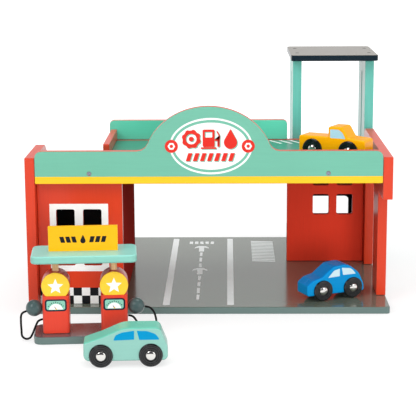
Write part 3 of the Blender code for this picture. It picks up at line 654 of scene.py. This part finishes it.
def rectangle(left, right, low, high, radius=0.0):
    return rounded([(left, low, radius), (right, low, radius), (right, high, radius), (left, high, radius)])


def ellipse(u, v, across, tall, steps=72):
    return [(u + across * cos(2 * pi * k / steps), v + tall * sin(2 * pi * k / steps)) for k in range(steps)]


def star(u, v, outer, inner, points=5):
    corners = []
    for k in range(2 * points):
        reach = inner if k % 2 else outer
        corners.append((u + reach * sin(pi * k / points), v + reach * cos(pi * k / points)))
    return corners


# A flat plate between two faces, outlined by loops; a loop inside another is a hole
def slab(name, loops, thickness):
    drawing = bpy.data.curves.new(name, "CURVE")
    drawing.dimensions = "2D"
    drawing.fill_mode = "BOTH"
    drawing.extrude = thickness / 2
    for loop in loops:
        spline = drawing.splines.new("POLY")
        spline.points.add(len(loop) - 1)
        for point, (u, v) in zip(spline.points, loop):
            point.co = (u, v, 0, 1)
        spline.use_cyclic_u = True
    mesh = evaluated(add_object(name, drawing), name)
    shape = bmesh.new()
    shape.from_mesh(mesh)
    bmesh.ops.remove_doubles(shape, verts=shape.verts, dist=WELD)
    bmesh.ops.dissolve_limit(shape, angle_limit=radians(0.5), verts=shape.verts, edges=shape.edges)
    bmesh.ops.recalc_face_normals(shape, faces=shape.faces)
    shape.to_mesh(mesh)
    shape.free()
    return mesh


# A place for prints or boards: an origin, the directions u and v, and the body that carries it
class Face:
    def __init__(self, body, origin, u, v, base=Matrix.Identity(4)):
        u = Vector(u)
        v = Vector(v)
        place = Matrix((u, v, u.cross(v))).transposed().to_4x4()
        place.translation = origin
        self.matrix = base @ place
        self.body = body

    def out(self, distance):
        return self.matrix @ Matrix.Translation((0, 0, distance))


# A print on a face; a higher layer lies over the lower ones
def film(name, face, loops, finish, layer=0):
    mesh = slab(name, loops, FILM)
    lift = FILM / 2 - SUNK + layer * FILM * 0.8
    return add_piece(name, mesh, finish, face.out(lift), face.body)


def add_bevel(item, width):
    bevel = item.modifiers.new("rounded_edges", "BEVEL")
    bevel.width = width
    bevel.segments = 5
    bevel.limit_method = "ANGLE"
    bevel.angle_limit = CREASE
    bevel.use_clamp_overlap = False


def cut_out(item, cutter):
    cut = item.modifiers.new("cut", "BOOLEAN")
    cut.operation = "DIFFERENCE"
    cut.use_self = True
    cut.object = cutter


# A turned shape is a profile of (radius, height) points, from the top down its outer side
def lathe(name, profile, steps=48, closed=False):
    shape = bmesh.new()
    verts = [shape.verts.new((radius, 0, height)) for radius, height in profile]
    for first, second in zip(verts, verts[1:]):
        shape.edges.new((first, second))
    if closed:
        shape.edges.new((verts[-1], verts[0]))
    mesh = bpy.data.meshes.new(name + "_profile")
    shape.to_mesh(mesh)
    shape.free()
    turning = add_object(name + "_profile", mesh)
    spin = turning.modifiers.new("spin", "SCREW")
    spin.steps = steps
    spin.render_steps = steps
    spin.use_merge_vertices = True
    spin.merge_threshold = 0.00001
    return smooth(evaluated(turning, name), 28)


def turn(x=0.0, y=0.0, z=0.0):
    return Matrix.Rotation(z, 4, "Z") @ Matrix.Rotation(y, 4, "Y") @ Matrix.Rotation(x, 4, "X")


def at(x, y, z):
    return Matrix.Translation((x, y, z))


ISLAND = at(*ISLAND_ORIGIN) @ turn(z=ISLAND_TURN)


# Boards of the station and the island keep their solids and get their paint
def dress_boards():
    finishes = (
        (RED_BOARD, ("left_wall", "right_wall", "shop_front", "ramp", "ramp_wall")),
        (WINDOW_WALL_PAINTED_LIGHT, ("window_wall",)),
        (PARTITION_PAINTED_SHADE, ("shop_partition",)),
        # The shop's back and the lift's back wall are black: painted shade
        (SHADE_BLACK_PAINT, ("shop_back", "lift_back_wall")),
        (RED_RAIL, ("left_rail",)),
        (BASE_PAINT, ("base_plate",)),
        (ISLAND_PAINT, ("island_base",)),
        (FASCIA_PAINT, ("fascia",)),
        (DECK_PAINT, ("deck",)),
        (BACK_RAIL_PAINT, ("back_rail",)),
        (TOWER_PAINT, ("lift_panel_left", "lift_panel_right")),
        (ROOF_PAINT, ("lift_roof",)),
        (LIFT_PAINT, ("lift_car", "lift_handle_left", "lift_handle_right")),
        (PUMP_PAINT, ("pump_left_body", "pump_right_body")),
        (SIGN_PAINT, ("sign_board",)),
        (POST_WOOD, ("canopy_post_left", "canopy_post_right")),
    )
    for finish, names in finishes:
        for name in names:
            dress(name, finish)


# Lane stripes, arrows, a parking hatch and a dashed stop line on the base
def print_road():
    road = Face("station", (0, FRONT, FLOOR_TOP), (1, 0, 0), (0, 1, 0))
    marks = [rectangle(left, right, STRIPE_NEAR, STRIPE_FAR) for left, right in STRIPE_SIDES]
    for near, far in DASHES:
        marks.append(rectangle(LANE_X - DASH_W / 2, LANE_X + DASH_W / 2, near, far))
    for tip in ARROW_TIPS:
        left_side = [(LANE_X - across, tip - back) for across, back in ARROW_HALF]
        right_side = [(LANE_X + across, tip - back) for across, back in reversed(ARROW_HALF)]
        marks.append([(LANE_X, tip)] + left_side + right_side)
    for k in range(STOP_COUNT):
        left = STOP_LEFT + STOP_PITCH * k
        marks.append(rectangle(left, left + STOP_DASH, STOP_NEAR, STOP_FAR))
    film("lane_marks", road, marks, ROAD_INK)
    stripes = []
    for k in range(PARKING_COUNT):
        low = PARKING_NEAR + PARKING_DEPTH / PARKING_COUNT * k
        left_low = low + PARKING_SLOPE
        stripes.append([
            (PARKING_LEFT, left_low), (PARKING_RIGHT, low),
            (PARKING_RIGHT, low + PARKING_LINE), (PARKING_LEFT, left_low + PARKING_LINE),
        ])
    film("parking_hatch", road, stripes, ROAD_INK)


# White hatching at the rear of the deck, in front of the lift
def print_deck():
    deck = Face("station", (0, FRONT, DECK_TOP), (1, 0, 0), (0, 1, 0))
    stripes = []
    for k in range(HATCH_COUNT):
        far_left = HATCH_START + HATCH_PITCH * k
        near_left = far_left + HATCH_SLANT
        stripes.append([
            (near_left, HATCH_NEAR), (near_left + HATCH_W, HATCH_NEAR),
            (far_left + HATCH_W, HATCH_FAR), (far_left, HATCH_FAR),
        ])
    film("deck_hatch", deck, stripes, WHITE_INK)


# White window frame and a checker strip on the shop's front
def print_shop():
    wall = Face("station", (0, SHOP_LOW.y, 0), (1, 0, 0), (0, 0, 1))
    middle_x = SHOP_LOW.x + WINDOW_X
    middle_z = FLOOR_TOP + WINDOW_Z
    half_w = PANE[0] / 2
    half_h = PANE[1] / 2
    loops = [rectangle(*FRAME_SIDES, *FRAME_LEVELS)]
    for side in (-0.5, 0.5):
        for level in (-0.5, 0.5):
            x = middle_x + side * PANE_PITCH[0]
            z = middle_z + level * PANE_PITCH[1]
            loops.append(rectangle(x - half_w, x + half_w, z - half_h, z + half_h, PANE_R))
    film("window_frame_print", wall, loops, WHITE_INK)
    width = (SHOP_HIGH.x - SHOP_LOW.x - 2 * CHECKER_MARGIN) / CHECKER_COLUMNS
    dark = []
    light = []
    for row in range(2):
        for column in range(CHECKER_COLUMNS):
            left = SHOP_LOW.x + CHECKER_MARGIN + column * width
            low = SHOP_LOW.z + 0.0001 + row * CHECKER_H
            squares = dark if (row + column) % 2 else light
            squares.append(rectangle(left, left + width, low, low + CHECKER_H))
    film("checker_dark", wall, dark, BLACK_INK)
    film("checker_light", wall, light, WHITE_INK)


# A drop with a round foot and a narrow tip
def drop(u, v, width, tall):
    corners = []
    radius = width / 2
    low = v - tall / 2 + radius
    for k in range(25):
        angle = radians(-205 + 230 * k / 24)
        corners.append((u + radius * cos(angle), low + radius * sin(angle)))
    corners.append((u + 0.0004, v + tall / 2))
    corners.append((u - 0.0004, v + tall / 2))
    return corners


# A generic badge: a tyre, a fuel pump and a drop over a row of slanted bars
def badge_loops():
    tyre_u = -0.0238
    tyre_v = 0.0088
    lug_r = 0.0118
    groove_r = 0.0106
    tread = []
    for k in range(32):
        reach = lug_r if (k // 2) % 2 else groove_r
        angle = 2 * pi * k / 32
        tread.append((tyre_u + reach * cos(angle), tyre_v + reach * sin(angle)))
    loops = [tread]
    for radius, steps in ((0.0064, 36), (0.0030, 24)):
        loops.append(ellipse(tyre_u, tyre_v, radius, radius, steps))
    loops.append(rectangle(-0.0100, 0.0045, -0.0010, 0.0205, 0.0018))
    loops.append(rectangle(-0.0072, 0.0017, 0.0108, 0.0175, 0.0008))
    loops.append(rectangle(-0.0122, 0.0067, -0.0034, -0.0012, 0.0006))
    loops.append(rounded([
        (0.0047, 0.0085, 0), (0.0047, 0.0065, 0), (0.0078, 0.0065, 0.0012),
        (0.0078, -0.0008, 0.0008), (0.0108, -0.0008, 0.0012), (0.0108, 0.0140, 0.0008),
        (0.0078, 0.0190, 0.0006), (0.0066, 0.0180, 0.0004), (0.0090, 0.0135, 0.0004),
        (0.0090, 0.0010, 0.0004), (0.0097, 0.0010, 0.0004), (0.0097, 0.0085, 0.0012),
    ]))
    loops.append(drop(0.0238, 0.0086, 0.0162, 0.0240))
    bar_start = -0.0308
    bar_pitch = 0.0086
    bar_w = 0.0052
    bar_lean = 0.0032
    low = -0.0184
    high = -0.0084
    for k in range(7):
        foot = bar_start + bar_pitch * k
        head = foot + bar_lean
        loops.append([(foot, low), (foot + bar_w, low), (head + bar_w, high), (head, high)])
    return loops


# The white oval with its badge and two roundels
def print_fascia():
    middle = (0.0030, FRONT, 0.2117)
    ring_outside = (0.0505, 0.0347)
    ring_inside = (0.0481, 0.0323)
    field = (0.0449, 0.0290)
    aside = 0.0010
    below = 0.0009
    disc_r = 0.0080
    nut_r = 0.0046
    hole_r = 0.0021
    face = Face("station", middle, (1, 0, 0), (0, 0, 1))
    ring = [ellipse(0, 0, *ring_outside), ellipse(0, 0, *ring_inside)]
    film("oval_ring", face, ring, WHITE_INK)
    film("oval_field", face, [ellipse(0, 0, *field)], WHITE_INK)
    marks = badge_loops()
    shifted = [[(u + aside, v - below) for u, v in loop] for loop in marks]
    film("badge_shadow", face, shifted, TEAL_INK, 1)
    film("badge_marks", face, marks, RED_INK, 2)
    for word, u in (("left", -0.0481), ("right", 0.0453)):
        film("roundel_" + word, face, [ellipse(u, 0, disc_r, disc_r, 40)], RED_INK, 3)
        nut = [ellipse(u, 0, nut_r, nut_r, 6), ellipse(u, 0, hole_r, hole_r, 24)]
        film("roundel_nut_" + word, face, nut, WHITE_INK, 4)


# Screws with cross recesses: steel on the fascia; the others take a dark paint in place of steel, a painted
# dark reflection
def dress_screws():
    recess = (0.0032, 0.0006, 0.0018)
    head_r = 0.0025
    shank_r = 0.00125
    foot = -0.0198
    profile = rounded([
        (0, 0, 0), (head_r, 0, 0.0004), (head_r, -0.0004, 0), (shank_r, -0.0017, 0),
        (shank_r, foot + 0.0013, 0), (0, foot, 0)], 3)
    for name in sorted(NODES):
        if "_screw" not in name:
            continue
        low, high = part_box(name)
        ahead = name.startswith("fascia")
        middle = (low + high) / 2
        top = low.y if ahead else high.z
        cutter = bmesh.new()
        for size in (recess, (recess[1], recess[0], recess[2])):
            made = bmesh.ops.create_cube(cutter, size=1.0)
            bmesh.ops.scale(cutter, vec=size, verts=made["verts"])
        mesh = bpy.data.meshes.new("cross")
        cutter.to_mesh(mesh)
        cutter.free()
        cross = add_object("cross", mesh)
        blank = add_object("blank", lathe(name + "_steel", profile, 32))
        cut_out(blank, cross)
        mesh = smooth(evaluated(blank, name + "_steel"), 28)
        bpy.data.objects.remove(cross)
        if ahead:
            place = at(middle.x, top, middle.z) @ turn(x=pi / 2) @ turn(z=radians(20))
        else:
            place = at(middle.x, middle.y, top) @ turn(z=radians(35))
        add_piece(name + "_steel", mesh, STEEL if ahead else SCREW_PAINTED_DARK, place, "station", [name])


# The canopy over the pumps, a board with rounded edges
def make_canopy():
    width, depth, thick = CANOPY_SIZE
    edge = 0.0021
    low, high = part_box("canopy")
    outline = rectangle(-width / 2, width / 2, -depth / 2, depth / 2, CANOPY_R)
    place = ISLAND @ at(0, 0, (low.z + high.z) / 2)
    board = add_piece("canopy_board", slab("canopy_board", [outline], thick), MINT_PAINT, place,
                      "island", ["canopy"])
    add_bevel(board, edge)
    smooth(board.data, 40)
    weigh_normals(board)


# Round pump heads with a raised rim, and a star on the front
def make_heads():
    half = HEAD_T / 2
    radius = HEAD_D / 2
    dish = 0.0002
    dish_r = radius - 0.0022
    rim_r = radius - 0.0018
    profile = rounded([
        (0, half - dish, 0), (dish_r, half - dish, 0.0002), (rim_r, half, 0.0004),
        (radius, half, 0.0014), (radius, -half, 0.0014), (rim_r, -half, 0.0004),
        (dish_r, dish - half, 0.0002), (0, dish - half, 0)], 5)
    for side, word in ((-1, "left"), (1, "right")):
        place = ISLAND @ at(side * PUMP_PITCH / 2, PUMP_D / 2 - half, HEAD_Z) @ turn(x=pi / 2)
        name = "pump_%s_disc" % word
        add_piece(name, lathe(name, profile, 72), HEAD_PAINT, place, "island",
                  ["pump_%s_head" % word])
        front = (side * PUMP_PITCH / 2, PUMP_D / 2 - HEAD_T + dish, HEAD_Z)
        face = Face("island", front, (1, 0, 0), (0, 0, 1), ISLAND)
        film("pump_%s_star" % word, face, [star(0, -0.0002, 0.0096, 0.0043)], WHITE_INK)


# A disc cut off straight between two angles
def cut_disc(u, v, radius, start, end, steps=24):
    angles = [start + (end - start) * k / steps for k in range(steps + 1)]
    return [(u + radius * cos(angle), v + radius * sin(angle)) for angle in angles]


# A gauge with a rounded border, a band of ticks, a half dial, a needle and its hub
def make_gauges():
    gauge_z = 0.0434
    dial_v = -0.0062
    dial_r = 0.0081
    dial_foot = -0.0051
    tick_r = 0.0091
    outer = rectangle(-0.0127, 0.0127, -0.0072, 0.0072, 0.0036)
    inner = rectangle(-0.0108, 0.0108, -0.0054, 0.0054, 0.0022)
    needle = [(-0.0004, -0.0046), (0.0008, -0.0041), (-0.0021, -0.0009)]
    hub = ellipse(0.0003, -0.0044, 0.0009, 0.0007, 20)
    for side, word in ((-1, "left"), (1, "right")):
        origin = (side * PUMP_PITCH / 2, -PUMP_D / 2, gauge_z)
        face = Face("island", origin, (1, 0, 0), (0, 0, 1), ISLAND)
        film("gauge_%s_border" % word, face, [outer, inner], NAVY_INK, 1)
        film("gauge_%s_field" % word, face, [inner], MINT_INK)
        dial = cut_disc(0, dial_v, dial_r, radians(8), radians(172))
        dial = [(u, max(v, dial_foot)) for u, v in dial]
        film("gauge_%s_dial" % word, face, [dial], WHITE_INK, 1)
        ticks = []
        for k in range(9):
            angle = radians(32 + 116 * k / 8)
            long = 0.0016 if k % 2 == 0 else 0.0010
            along = Vector((cos(angle), sin(angle)))
            across = Vector((-sin(angle), cos(angle))) * (0.0006 if k % 2 else 0.00045)
            near = Vector((0, dial_v)) + along * tick_r
            far = near + along * long
            corners = (near - across, far - across, far + across, near + across)
            ticks.append([tuple(point) for point in corners])
        film("gauge_%s_ticks" % word, face, ticks, NAVY_INK, 1)
        film("gauge_%s_needle" % word, face, [needle], NAVY_INK, 2)
        film("gauge_%s_hub" % word, face, [hub], YELLOW_INK, 3)


# A generic print for the sign: a drop between slanted bars
def print_sign():
    low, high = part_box("sign_board")
    middle = ISLAND.inverted() @ ((low + high) / 2)
    face = Face("island", (middle.x, -SIGN_T / 2, middle.z + 0.0003), (1, 0, 0), (0, 0, 1), ISLAND)
    marks = [drop(0, 0.0002, 0.0062, 0.0098)]
    half = 0.0036
    first = 0.0070
    pitch = 0.0068
    for side in (-1, 1):
        width = side * 0.0050
        lean = side * 0.0018
        for k in range(3):
            start = side * (first + pitch * k)
            end = start + width
            marks.append([(start, -half), (end, -half), (end + lean, half), (start + lean, half)])
    film("sign_print", face, marks, BLACK_INK)


# Beads with a shallow bore for the cord and a peg that goes into the pump's side
def make_beads():
    radius = BEAD_D / 2
    peg = HOLDER_D / 2
    near = -sqrt(radius ** 2 - peg ** 2)
    last = pi - asin(peg / radius)
    first = asin(0.0016 / radius)
    bore = radius - 0.0015
    tip = -radius - HOLDER_L
    profile = [(0, bore), (0.0012, bore), (0.0013, radius * cos(first) - 0.0002)]
    for step in range(25):
        angle = first + (last - first) * step / 24
        profile.append((radius * sin(angle), radius * cos(angle)))
    profile += [(peg, near), (peg, tip + 0.0004), (peg - 0.0004, tip), (0, tip)]
    for side, word in ((-1, "left"), (1, "right")):
        place = ISLAND @ at(side * (PUMP_OUT + GAP + radius), -BEAD_FORWARD, BEAD_Z) @ turn(y=side * pi / 2)
        name = "bead_" + word
        add_piece(name, lathe(name, profile, 48), BEAD_PAINT, place, word + "_nozzle",
                  ["nozzle_" + word])


# The route's first and last steps stay straight, and the rest is a smooth curve read at even steps
def smooth_route(route, spacing):
    points = [Vector(point) for point in route]
    fine = []
    for index in range(1, len(points) - 2):
        p0, p1, p2, p3 = points[index - 1:index + 3]
        for step in range(12):
            t = step / 12
            fine.append(0.5 * (2 * p1 + (p2 - p0) * t + (2 * p0 - 5 * p1 + 4 * p2 - p3) * t ** 2
                               + (3 * p1 - p0 - 3 * p2 + p3) * t ** 3))
    fine.append(points[-2])
    total = sum((after - before).length for before, after in zip(fine, fine[1:]))
    pace = total / ceil(total / spacing)
    even = [points[0], fine[0]]
    travelled = 0.0
    for before, after in zip(fine, fine[1:]):
        travelled += (after - before).length
        if travelled >= pace * (len(even) - 1) and travelled < total - pace / 2:
            even.append(after)
    return even + points[-2:]


# Cords from the pump's side round a loop to the bead
def make_hoses():
    spacing = 0.0011
    for route, word in ((LEFT_HOSE, "left"), (RIGHT_HOSE, "right")):
        points = [ISLAND @ point for point in reversed(smooth_route(route, spacing))]
        line = bpy.data.curves.new("hose_line", "CURVE")
        line.dimensions = "3D"
        line.bevel_depth = HOSE_D / 2
        line.bevel_resolution = 5
        line.use_fill_caps = True
        spline = line.splines.new("POLY")
        spline.points.add(len(points) - 1)
        for place, point in zip(spline.points, points):
            place.co = (*point, 1)
        name = "hose_%s_cord" % word
        mesh = evaluated(add_object("hose_line", line), name)
        shape = bmesh.new()
        shape.from_mesh(mesh)
        bmesh.ops.remove_doubles(shape, verts=shape.verts, dist=WELD)
        shape.to_mesh(mesh)
        shape.free()
        smooth(mesh, 50)
        mesh.materials.clear()
        mesh.materials.append(CORD)
        hose = add_object(name, mesh)
        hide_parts("hose_" + word)
        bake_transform(hose)


# A wheel with a sunk middle and two grooves in its outer face
def wheel_profile():
    rim = WHEEL_D / 2
    bore = AXLE_D / 2 + 0.00015
    top = WHEEL_T
    face = top - 0.0001
    sunk = top - 0.0013
    inner = top - 0.0007
    outer = top - 0.0005
    return rounded([
        (bore, sunk, 0), (0.0066, sunk, 0.0002), (0.0071, face, 0.0003), (0.0082, face, 0.0002),
        (0.0085, inner, 0.0001), (0.0090, inner, 0.0001), (0.0093, face, 0.0002), (0.0104, face, 0.0002),
        (0.0106, outer, 0.0001), (0.0109, outer, 0.0001), (0.0111, face, 0.0002),
        (rim, top, 0.0016), (rim, 0, 0.0008), (bore, 0, 0)], 5)


# An axle with a domed hubcap on each end
def axle_profile():
    face = WHEEL_SEAT + WHEEL_T - 0.0012
    half = []
    for k in range(11):
        angle = pi / 2 * k / 10
        half.append((HUB_D / 2 * sin(angle), face + 0.0006 + 0.0021 * cos(angle)))
    half += [(HUB_D / 2, face + 0.0002), (HUB_D / 2 - 0.0003, face), (AXLE_D / 2, face)]
    return half + [(radius, -height) for radius, height in reversed(half)]


# A body with rounded edges and four wheel arches, in a frame whose Z runs along the axles
def shell_mesh(name, outline, hubs):
    blank = add_object(name, slab(name, [outline], CAR_W))
    add_bevel(blank, CAR_EDGE)
    arch = WHEEL_D / 2 + ARCH_CLEAR
    side = CAR_W / 2
    ring = [
        (0, WHEEL_SEAT - GAP), (arch - 0.0004, WHEEL_SEAT - GAP), (arch, WHEEL_SEAT + 0.0001),
        (arch, side - 0.0005), (arch + 0.0003, side - 0.0001), (arch + 0.0012, side + 0.0002),
        (arch + 0.0012, CAR_W), (0, CAR_W)]
    cutters = []
    for u, v in hubs:
        for sign in (-1, 1):
            cutter = add_object("arch", lathe("arch", ring, 64))
            cutter.matrix_world = at(u, v, 0) @ turn(x=0 if sign > 0 else pi)
            cut_out(blank, cutter)
            cutters.append(cutter)
    mesh = evaluated(blank, name)
    for cutter in cutters:
        bpy.data.objects.remove(cutter)
    return smooth(mesh, 40)


# A car's shell, windows, hubcaps and wheels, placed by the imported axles
def dress_car(car, side, axles, panes, finish, glass):
    front, rear = axles
    low_front, high_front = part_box("%s_front_axle" % car)
    low_rear, high_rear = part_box("%s_rear_axle" % car)
    ahead = (low_front + high_front) / 2
    behind = (low_rear + high_rear) / 2
    length = max(corner[0] for corner in side)
    heading = (ahead - behind).normalized()
    centre = ahead - heading * (length / 2 - front)
    base = Matrix((heading, Vector((0, 0, 1)).cross(heading), (0, 0, 1))).transposed().to_4x4()
    base.translation = (centre.x, centre.y, ahead.z - AXLE_Z)
    outline = rounded([(length / 2 - x, AXLE_Z + z, radius) for x, z, radius in side], 8)
    hubs = [(length / 2 - front, AXLE_Z), (length / 2 - rear, AXLE_Z)]
    shell = shell_mesh(car + "_shell", outline, hubs)
    upright = base @ turn(x=pi / 2)
    body = add_piece(car + "_shell", shell, finish, upright, car, [car + "_body"])
    weigh_normals(body)
    for hand, sign in (("left", 1), ("right", -1)):
        face = Face(car, (0, sign * CAR_W / 2, 0), (-sign, 0, 0), (0, 0, 1), base)
        loops = []
        for pane in panes:
            corners = [(-sign * (length / 2 - s), z, radius) for s, z, radius in pane]
            loops.append(rounded(corners if sign < 0 else list(reversed(corners))))
        film("%s_%s_windows" % (car, hand), face, loops, glass)
    for word, s in (("front", front), ("rear", rear)):
        axle = at(length / 2 - s, 0, AXLE_Z) @ turn(x=pi / 2)
        name = "%s_%s_hubcaps" % (car, word)
        rider = "%s_%s" % (car, word)
        solid = "%s_%s_axle" % (car, word)
        add_piece(name, lathe(name, axle_profile(), 40), CHROME, base @ axle, rider, [solid])
        for hand, sign in (("left", 1), ("right", -1)):
            name = "%s_%s_%s_tyre" % (car, word, hand)
            hub = at(length / 2 - s, sign * WHEEL_SEAT, AXLE_Z) @ turn(x=-sign * pi / 2)
            solid = "%s_%s_%s_wheel" % (car, word, hand)
            wheel = lathe(name, wheel_profile(), 64, True)
            add_piece(name, wheel, WHEEL_PAINT, base @ hub, rider, [solid])


# A white floor that is brighter away from the middle
def add_floor():
    reach = 16
    shape = bmesh.new()
    bmesh.ops.create_grid(shape, x_segments=8, y_segments=8, size=reach)
    mesh = bpy.data.meshes.new("studio_floor")
    shape.to_mesh(mesh)
    shape.free()
    floor = add_object("studio_floor", mesh)
    made = Surface("studio_white")
    cloud = made.noise(0.8, 2)
    path = made.nodes.new("ShaderNodeLightPath")
    seen = made.maths("MAXIMUM", path.outputs["Is Camera Ray"], path.outputs["Is Glossy Ray"])
    seen = made.maths("MAXIMUM", seen, path.outputs["Is Transmission Ray"])
    across = made.maths("POWER", made.axis(made.place, "X"), 2.0)
    along = made.maths("POWER", made.axis(made.place, "Y"), 2.0)
    away = made.spread(made.maths("SQRT", made.maths("ADD", across, along)), 0.0, 1.0, 0.55, 1.6)
    bright = made.maths("MULTIPLY", seen, made.maths("MULTIPLY_ADD", away, 0.48, 0.68))
    made.shader.inputs["Emission Color"].default_value = (1, 1, 1, 1)
    made.feed(made.shader.inputs["Emission Strength"], bright)
    made.shader.inputs["Specular IOR Level"].default_value = 0.0
    tint = made.dim((0.33, 0.33, 0.33, 1), made.spread(cloud, 0.99, 1.01))
    made.finish(tint, made.spread(cloud, 0.85, 0.95))
    mesh.materials.append(made.material)


# A white sky; mirrored in gloss, it is dark overhead and above the horizon in front, like a room
def add_sky():
    world = bpy.data.worlds.new("studio_world")
    world.use_nodes = True
    bpy.context.scene.world = world
    sky = Network(world.node_tree)
    background = sky.nodes["Background"]
    path = sky.nodes.new("ShaderNodeLightPath")
    source = sky.nodes.new("ShaderNodeTexCoord")
    height = sky.axis(source.outputs["Generated"], "Z")
    white = (1, 1, 1, 1)
    dusk = (0.10, 0.10, 0.11, 1)
    overhead = sky.spread(height, 0.0, 1.0, 0.28, 0.55)
    in_front = sky.spread(sky.axis(source.outputs["Generated"], "Y"), 0.0, 1.0, -0.3, -0.6)
    ahead = sky.maths("MULTIPLY", sky.spread(height, 0.0, 1.0, 0.02, 0.12), in_front)
    dark = sky.maths("MULTIPLY", sky.maths("MAXIMUM", ahead, overhead), path.outputs["Is Glossy Ray"])
    strength = sky.spread(path.outputs["Is Camera Ray"], 0.78, 1.0, 0.0, 1.0)
    sky.feed(background.inputs["Strength"], strength)
    sky.feed(background.inputs["Color"], sky.mix(dark, white, dusk))


# Lamps from the left, low in front, from the right and overhead
def add_lamps():
    add_lamp("key", (-1.5, -1.9, 1.9), 1.3, 20)
    add_lamp("front", (0.3, -2.4, 0.30), 0.8, 21, mirrored=False)
    add_lamp("fill", (1.7, -1.6, 0.9), 1.4, 8)
    add_lamp("top", (0.1, 0.1, 2.2), 1.8, 16)


add_camera()
make_hoses()
dress_boards()
print_road()
print_deck()
print_shop()
print_fascia()
dress_screws()
make_canopy()
make_heads()
make_gauges()
print_sign()
make_beads()
dress_car("green_car", GREEN_SIDE, GREEN_AXLES, GREEN_PANES, GREEN_PAINT, GREEN_GLASS)
dress_car("blue_car", BLUE_SIDE, BLUE_AXLES, BLUE_PANES, BLUE_PAINT, BLUE_GLASS)
dress_car("truck", TRUCK_SIDE, TRUCK_AXLES, TRUCK_PANES, ORANGE_PAINT, TRUCK_GLASS)
add_floor()
add_sky()
add_lamps()
bpy.context.scene.view_settings.view_transform = "Standard"
